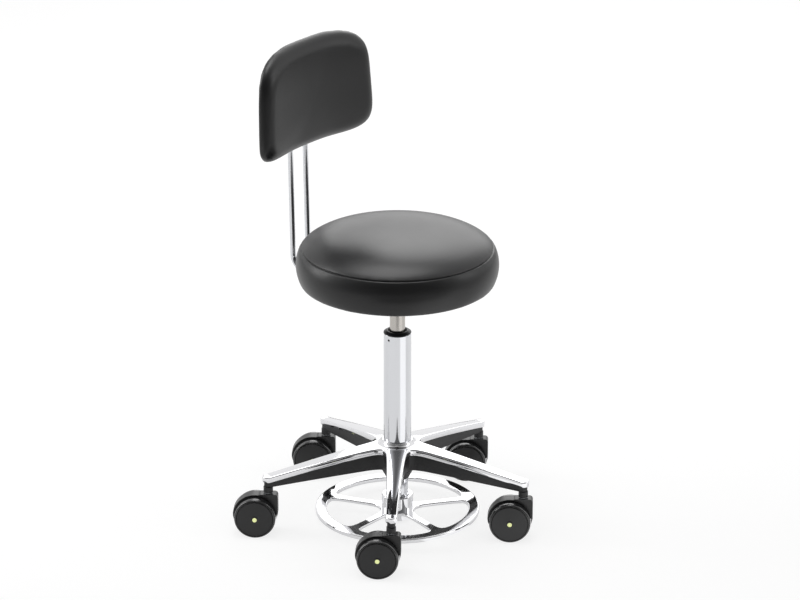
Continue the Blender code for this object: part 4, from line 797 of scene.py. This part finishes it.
web_tail = tail_edge * (1 - WEB_SHRINK) + axle_spot * WEB_SHRINK
web_boss = round_axle(WEB_RADIUS, np.linspace(TAIL, -math.pi - TAIL, 24))
web_outline = np.concatenate([web_edge, web_tail, web_boss])


def prism(outline, half):
    """A flat outline in the caster's plane given a thickness along the axle, as vertices and faces."""
    count = len(outline)
    near = np.column_stack([outline[:, 0], np.full(count, half), outline[:, 1]])
    points = np.concatenate([near, near * [1, -1, 1]])
    ahead = np.arange(count)
    after = np.roll(ahead, -1)
    sides = np.stack([ahead, after, after + count, ahead + count], -1).tolist()
    return points, [ahead.tolist(), (ahead + count)[::-1].tolist()] + sides


axle_frame = Matrix.Translation((trail_length, 0, wheel_radius))
near_side = Matrix.Rotation(-math.pi / 2, 4, "X")
far_side = Matrix.Rotation(math.pi / 2, 4, "X")
for number in range(1, ARMS + 1):
    # The caster's own frame has its stem at the origin and trails along +X.
    stem_spot = Matrix.Translation((swivel[number].x, swivel[number].y, 0))
    here = stem_spot @ Matrix.Rotation(caster_turn, 4, "Z")
    for letter, side in (("a", near_side), ("b", far_side)):
        wheel = surface(
            f"caster_{number}_tyre_{letter}",
            [moved(wheel_grid, here @ axle_frame @ side)],
            [nylon, tyre],
            (True, True),
            [wheel_tones],
        )
        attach(wheel, f"caster_{number}_wheel_{letter}")
        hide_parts(f"caster_{number}_wheel_{letter}")
    cap = surface(f"caster_{number}_caps", [moved(cap_grid, here @ axle_frame @ near_side)], [cap_paint])
    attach(cap, f"caster_{number}")
    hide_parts(f"caster_{number}_axle")
    hood_parts = (("hood_shell", hood_outline, HOOD_HALF), ("hood_web", web_outline, WEB_HALF))
    for shape, outline, half in hood_parts:
        points, faces = prism(outline, half)
        hood_mesh = bpy.data.meshes.new(f"caster_{number}_{shape}")
        hood_mesh.from_pydata(moved(points, here).tolist(), [], faces)
        hood = piece_from(f"caster_{number}_{shape}", hood_mesh, [nylon])
        rounding = hood.modifiers.new("rounded_edges", "BEVEL")
        rounding.width = HOOD_ROUND
        rounding.segments = 3
        rounding.limit_method = "ANGLE"
        rounding.angle_limit = math.radians(50)
        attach(hood, f"caster_{number}")
        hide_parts(f"caster_{number}_hood")

# Seat: a foam pad upholstered in black vinyl over a round plywood board. A top panel is sewn to a side band,
# the seam draws in, the band swells over the foam, and the hem is stapled under the board.

# Upholstery vinyl: a satin skin embossed with fine pores and shallow creases, a little glossier in patches.
vinyl, tree, shader, place = material("black_upholstery_vinyl", "#131314", 0.36)
shader.inputs["Specular IOR Level"].default_value = 0.44
pores = add_node(
    tree, "TexVoronoi", {"Vector": place, "Scale": 1 / 0.0016, "Randomness": 1.0}, feature="SMOOTH_F1"
)
creases = add_node(tree, "TexNoise", {"Vector": place, "Scale": 1 / 0.007, "Detail": 4.0})
grain = add_node(tree, "Math", {0: pores.outputs["Distance"], 1: creases}, operation="ADD")
lay_pattern(shader, grain, skin=(0.12, 0.0004))
wear = add_node(tree, "TexNoise", {"Vector": place, "Scale": 1 / 0.06, "Detail": 4.0})
lay_pattern(shader, wear, gloss=(0.32, 0.4), tones=("#111112", "#161617"))

seat_low, seat_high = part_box("seat_cushion")
board_low, board_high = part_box("seat_board")
SEAM_RADIUS, SEAT_CROWN, CROWN_POWER = 0.1745, 0.027, 5.6
seam_height = seat_high.z - SEAT_CROWN
SEAT_BULGE, BULGE_SPAN, BULGE_POWER = 0.0086, 0.92, 0.8
HEM_OUT, HEM_RISE, HEM_RADIUS, HEM_DROP, HEM_ROUND = 0.0005, 0.0012, 0.166, 0.0004, 0.004
SEAM_NEAR, SEAM_FINE = 0.005, 0.0042
SEAT_SLACK, VOXEL = 0.0012, 0.005
FOAM_HOLD, FOAM_PRESSURE, FOAM_LIMIT, CLOTH_STEPS = 0.25, 4.0, 0.005, 20


def seat_profile(slack):
    """Down the seat's outside: a crown falling with a high power of the radius, a swelling band and the hem.
    slack draws the whole form in, for the foam to fill out again. The seam is where crown and band meet."""
    out = np.sin(np.linspace(0, np.pi / 2, 160))
    fall = SEAT_CROWN * out**CROWN_POWER
    crown = np.column_stack([(SEAM_RADIUS - slack) * out, seat_high.z - slack - fall])
    down = np.linspace(0, 1, 80)[1:]
    swell = SEAT_BULGE * np.sin(np.pi * BULGE_SPAN * down) ** BULGE_POWER
    band_foot = seat_low.z + SEAT_BULGE
    band = np.column_stack([SEAM_RADIUS - slack + swell, crown[-1, 1] + (band_foot - crown[-1, 1]) * down])
    hem = filleted([
        band[-1],
        (SEAM_RADIUS + HEM_OUT - slack, seat_low.z + HEM_RISE),
        (HEM_RADIUS, seat_low.z + HEM_DROP),
        (0, seat_low.z),
    ], HEM_ROUND, steps=12)
    line = np.concatenate([crown, band, hem[1:]])
    run = np.concatenate([[0], np.cumsum(np.linalg.norm(np.diff(line, axis=0), axis=1))])
    seam = run[len(crown) - 1]
    stations = np.concatenate([
        np.linspace(0, seam - SEAM_NEAR, 56),
        seam + np.linspace(-SEAM_FINE, SEAM_FINE, 21),
        np.linspace(seam + SEAM_NEAR, run[-1], 60),
    ])
    return np.column_stack([np.interp(stations, run, line[:, 0]), np.interp(stations, run, line[:, 1])])


def points_of(mesh):
    """A mesh's points as an array."""
    points = np.empty(3 * len(mesh.vertices), np.float32)
    mesh.vertices.foreach_get("co", points)
    return points.reshape(-1, 3).astype(float)


def set_points(mesh, points):
    """Puts an array of points back into a mesh."""
    mesh.vertices.foreach_set("co", points.astype(np.float32).ravel())
    mesh.update()


def settle(piece):
    """Puts what the piece's modifiers make of its mesh in the mesh's place."""
    bpy.context.view_layer.update()
    graph = bpy.context.evaluated_depsgraph_get()
    made = bpy.data.meshes.new_from_object(piece.evaluated_get(graph), depsgraph=graph)
    old = piece.data
    piece.modifiers.clear()
    piece.data = made
    bpy.data.meshes.remove(old)


def fill_out(piece, held):
    """Remeshes the piece into even cells and blows it up by a cloth simulation, as foam fills its cover.
    held says which points stay, and no point moves further than the foam's limit."""
    cells = piece.modifiers.new("cells", "REMESH")
    cells.mode = "VOXEL"
    cells.voxel_size = VOXEL
    settle(piece)
    start = points_of(piece.data)
    pins = piece.vertex_groups.new(name="held")
    fixed = held(start)
    pins.add(np.flatnonzero(fixed).tolist(), 1.0, "REPLACE")
    pins.add(np.flatnonzero(~fixed).tolist(), FOAM_HOLD, "REPLACE")
    cloth = piece.modifiers.new("cover", "CLOTH")
    fabric = cloth.settings
    fabric.use_pressure = True
    fabric.uniform_pressure_force = FOAM_PRESSURE
    fabric.effector_weights.gravity = 0
    fabric.vertex_group_mass = "held"
    fabric.pin_stiffness = 1.0
    fabric.tension_stiffness = fabric.compression_stiffness = 6
    fabric.bending_stiffness = 4
    cloth.point_cache.frame_start, cloth.point_cache.frame_end = 1, CLOTH_STEPS
    for step in range(1, CLOTH_STEPS + 1):
        bpy.context.scene.frame_set(step)
    blown = piece.evaluated_get(bpy.context.evaluated_depsgraph_get())
    move = points_of(blown.to_mesh()) - start
    blown.to_mesh_clear()
    far = np.linalg.norm(move, axis=1, keepdims=True)
    piece.modifiers.clear()
    piece.vertex_groups.clear()
    bpy.context.scene.frame_set(1)
    set_points(piece.data, start + move * np.minimum(1, FOAM_LIMIT / np.maximum(far, 1e-9)))
    smooth = piece.modifiers.new("fine", "SUBSURF")
    smooth.levels = smooth.render_levels = 1
    settle(piece)


def laid_over(cover, form):
    """The cover's points after each moves to the nearest place on the filled-out form, which is then taken
    away."""
    lay = cover.modifiers.new("lay", "SHRINKWRAP")
    lay.target = form
    lay.wrap_method = "NEAREST_SURFACEPOINT"
    even = cover.modifiers.new("even", "SMOOTH")
    even.factor, even.iterations = 0.5, 4
    bpy.context.view_layer.update()
    shown = cover.evaluated_get(bpy.context.evaluated_depsgraph_get())
    points = points_of(shown.to_mesh())
    shown.to_mesh_clear()
    cover.modifiers.clear()
    spent = form.data
    bpy.data.objects.remove(form)
    bpy.data.meshes.remove(spent)
    return points


seat_form = surface("seat_form", [turned(seat_profile(SEAT_SLACK), 120)], [])
fill_out(seat_form, lambda points: points[:, 2] < board_high.z)
seat_cover = surface("seat_cover", [turned(seat_profile(0), 240)], [vinyl], sharp=80)
drawn = points_of(seat_cover.data)
drawn_reach = np.linalg.norm(drawn[:, :2], axis=1)
points = laid_over(seat_cover, seat_form)

# The thread pulls a narrow groove along the seam, and the panels pucker more softly beside it.
GROOVE_PULL, GROOVE_WIDTH, PUCKER_PULL, PUCKER_WIDTH, PULL_DOWN = 0.0017, 0.0013, 0.0006, 0.006, 0.4
PUCKERS = ((0.2, 38, 0.0), (0.15, 61, 1.3))
outward = points / np.maximum(np.linalg.norm(points[:, :2], axis=1), 1e-6)[:, None] * [1, 1, 0]
from_seam = np.hypot(drawn_reach - SEAM_RADIUS, drawn[:, 2] - seam_height)
turn_round = np.arctan2(points[:, 1], points[:, 0])
pucker = 1 + sum(depth * np.sin(count * turn_round + shift) for depth, count, shift in PUCKERS)
draw_in = GROOVE_PULL * np.exp(-((from_seam / GROOVE_WIDTH) ** 2))
draw_in += PUCKER_PULL * pucker * np.exp(-((from_seam / PUCKER_WIDTH) ** 2))
points -= outward * draw_in[:, None]
points[:, 2] -= PULL_DOWN * draw_in

# Inside the hem the cover stays above the board's underside.
BOARD_EDGE, UNDER_RISE, UNDER_LIFT = 0.1645, 0.004, 0.005
under = (drawn_reach < BOARD_EDGE) & (drawn[:, 2] < board_low.z + UNDER_RISE)
points[under, 2] = board_low.z + UNDER_LIFT
set_points(seat_cover.data, points)
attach(seat_cover, "seat")
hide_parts("seat_cushion")

# Back rods: one chromed steel bar bent cold into a hairpin. The clamp under the seat holds its loop, and
# its two ends turn up behind the sitter to carry the pad.


def swept(path, radius, count=28):
    """A round bar along a path: rings square to the path's direction, closed by a point at each end."""
    ahead = np.gradient(path, axis=0)
    ahead /= np.linalg.norm(ahead, axis=1, keepdims=True)
    # The rings start from a direction that the path never takes.
    first = np.cross(ahead, np.array([1.0, 0.3, 0.2]))
    first /= np.linalg.norm(first, axis=1, keepdims=True)
    second = np.cross(ahead, first)
    turns = np.linspace(0, 2 * np.pi, count, endpoint=False)
    ring = np.cos(turns)[None, :, None] * first[:, None] + np.sin(turns)[None, :, None] * second[:, None]
    start, end = (np.repeat(tip[:, None], count, 1) for tip in (path[:1], path[-1:]))
    return np.concatenate([start, path[:, None] + radius * ring, end])


rods_low, rods_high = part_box("back_rods")
ROD_RADIUS, ROD_BEND, LEAN = 0.005, 0.025, math.radians(1.2)
ROD_REACH, ROD_TURN, ROD_LENGTH, ROD_TURN_RADIUS = 0.225, 0.051, 0.333, 0.0207
rod_side = rods_high.x - ROD_RADIUS
run_height = rods_low.z + ROD_RADIUS
upright = np.array([0, math.sin(LEAN), math.cos(LEAN)])
left_run = np.array([-rod_side, ROD_REACH, run_height])
right_run = np.array([rod_side, ROD_REACH, run_height])
rod_path = filleted([
    left_run + upright * ROD_LENGTH,
    left_run,
    (-rod_side, ROD_TURN, run_height),
    (rod_side, ROD_TURN, run_height),
    right_run,
    right_run + upright * ROD_LENGTH,
], [0, ROD_BEND, ROD_TURN_RADIUS, ROD_TURN_RADIUS, ROD_BEND, 0], steps=20)
rods_piece = surface("back_rods_chromed", [swept(rod_path, ROD_RADIUS)], [chrome])
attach(rods_piece, "back_frame")
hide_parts("back_rods")

# Back pad: foam on a moulded black shell, covered in the seat's vinyl drawn smooth over a rounded front.
# It is wider at its foot, bent round the sitter, and hangs on the rods by a moulded guide.

PAD_RISE, PAD_BACK, PAD_HALF_HEIGHT = 0.3235, 0.0126, 0.0982
PAD_FOOT_HALF, PAD_TOP_HALF, PAD_TOP_ARCH, PAD_FOOT_ARCH = 0.1595, 0.1475, 0.0132, 0.0082
PAD_SQUARENESS, PAD_CURVE, PAD_SLACK = 5.0, 0.476, 0.001
PAD_EDGE, PAD_THICKNESS, PAD_ROUND = 0.0086, 0.0335, 0.028
# How much of the front's rise lies in its rounded edge, and how deep the cover turns in behind.
EDGE_RISE, TURN_IN = 0.86, 0.004
SHELL_INSET, SHELL_THICKNESS = 0.012, 0.008
pad_middle = Vector((0, ROD_REACH + PAD_RISE * math.tan(LEAN), run_height + PAD_RISE))
pad_frame = Matrix.Translation(pad_middle) @ Matrix.Rotation(-LEAN, 4, "X")


def pad_rings(insets, depths, shrinks, count=180):
    """Rings of the pad's outline, each with its inset, depth before the pad's back and shrink to the middle.
    The outline is a superellipse with arched head and foot, bent on a parabola round the sitter."""
    turns = 2 * np.pi * (np.arange(count) + 0.5) / count
    across, up = (
        np.sign(part) * np.abs(part) ** (2 / PAD_SQUARENESS) for part in (np.cos(turns), np.sin(turns))
    )
    arch = np.where(up > 0, PAD_TOP_ARCH, PAD_FOOT_ARCH) * (1 - across**2) * np.abs(up)
    insets, depths, shrinks = (np.asarray(values, float)[:, None] for values in (insets, depths, shrinks))
    half = PAD_FOOT_HALF + (PAD_TOP_HALF - PAD_FOOT_HALF) * (up + 1) / 2
    x = (half - insets) * across * shrinks
    z = (up * (PAD_HALF_HEIGHT - insets) + arch) * shrinks
    y = -PAD_BACK - depths - x**2 / (2 * PAD_CURVE)
    return np.stack([x, y, z], -1)


def pad_cover(slack):
    """The cover's rings from the middle of the back, round the edge and over the front, drawn in by slack."""
    rise = PAD_THICKNESS - PAD_EDGE
    near = np.linspace(0, 1, 26)[1:]
    fade = np.linspace(1, 0, 16)[1:]
    insets = np.concatenate(
        [[SHELL_INSET] * 6, [0.004, 0.0012, 0, 0], PAD_ROUND * near, np.full(len(fade), PAD_ROUND)]
    )
    depths = np.concatenate([
        [TURN_IN] * 6,
        [0.0002, 0.0014, 0.0036, PAD_EDGE],
        PAD_EDGE + EDGE_RISE * rise * (1 - (1 - near) ** 2) ** (2 / 3),
        PAD_EDGE + rise * (EDGE_RISE + (1 - EDGE_RISE) * (1 - fade**3)),
    ])
    shrinks = np.concatenate([np.linspace(0, 1, 6), np.ones(4 + len(near)), fade])
    return pad_rings(insets + slack * (insets < PAD_ROUND), depths - slack * (depths > PAD_EDGE), shrinks)


into_pad = pad_frame.inverted()


def held_back(points):
    """The cover's turned edge behind the pad, which is fixed to the shell."""
    local = moved(points, into_pad)
    return local[:, 1] + local[:, 0] ** 2 / (2 * PAD_CURVE) > -PAD_BACK - TURN_IN


back_form = surface("back_form", [moved(pad_cover(PAD_SLACK), pad_frame)], [])
fill_out(back_form, held_back)
back_cover = surface("back_cover", [moved(pad_cover(0), pad_frame)], [vinyl], sharp=80)
set_points(back_cover.data, laid_over(back_cover, back_form))
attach(back_cover, "back_pad")
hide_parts("back_cushion")

shell_rings = pad_rings(
    [SHELL_INSET] * 20,
    np.concatenate([[SHELL_THICKNESS] * 6, [0.0016, 0.0005, 0.0001, 0], [0] * 10]),
    np.concatenate([np.linspace(0, 1, 6), [1, 0.999, 0.996, 0.99], np.linspace(0.95, 0, 10)]),
)
back_shell = surface("back_shell", [moved(shell_rings, pad_frame)], [nylon])
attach(back_shell, "back_pad")
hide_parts("back_board")

# Kept pieces: pressed plates, the clamp, the guide, screws and the working parts inside.
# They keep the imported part's shapes and get the finishes that such pieces have.

# Plywood stained black: the grain of the face veneer still shows as slightly paler, duller fibres.
plywood, tree, shader, place = material("black_stained_plywood", "#1a1817", 0.55)
grain_run = add_node(tree, "Mapping", {"Vector": place, "Scale": (1 / 0.09, 1 / 0.004, 1 / 0.004)})
fibres = add_node(tree, "TexNoise", {"Vector": grain_run, "Scale": 1.0, "Detail": 4.0})
lay_pattern(shader, fibres, gloss=(0.45, 0.65), tones=("#141211", "#262220"))

# Zinc-plated steel: bluish bright, duller than chrome, with cloudy spangles a few millimetres wide.
zinc, tree, shader, place = material("zinc_plated_steel", "#bfc2c6", 0.32, 1.0)
spangles = add_node(tree, "TexVoronoi", {"Vector": place, "Scale": 1 / 0.004})
lay_pattern(shader, spangles, gloss=(0.25, 0.4))
finishes = {
    "plywood": plywood,
    "black_coated_steel": coat,
    "black_plastic": nylon,
    "ground_steel": zinc,
    "chromed_steel": chrome,
    "polished_aluminium": polished,
    "yellow_green_mark": cap_paint,
    "black_vinyl": vinyl,
}
for node in frame["nodes"].values():
    for slot in node.material_slots:
        words = (word for word in finishes if word in slot.material.name)
        slot.material = finishes.get(next(words, None), slot.material)
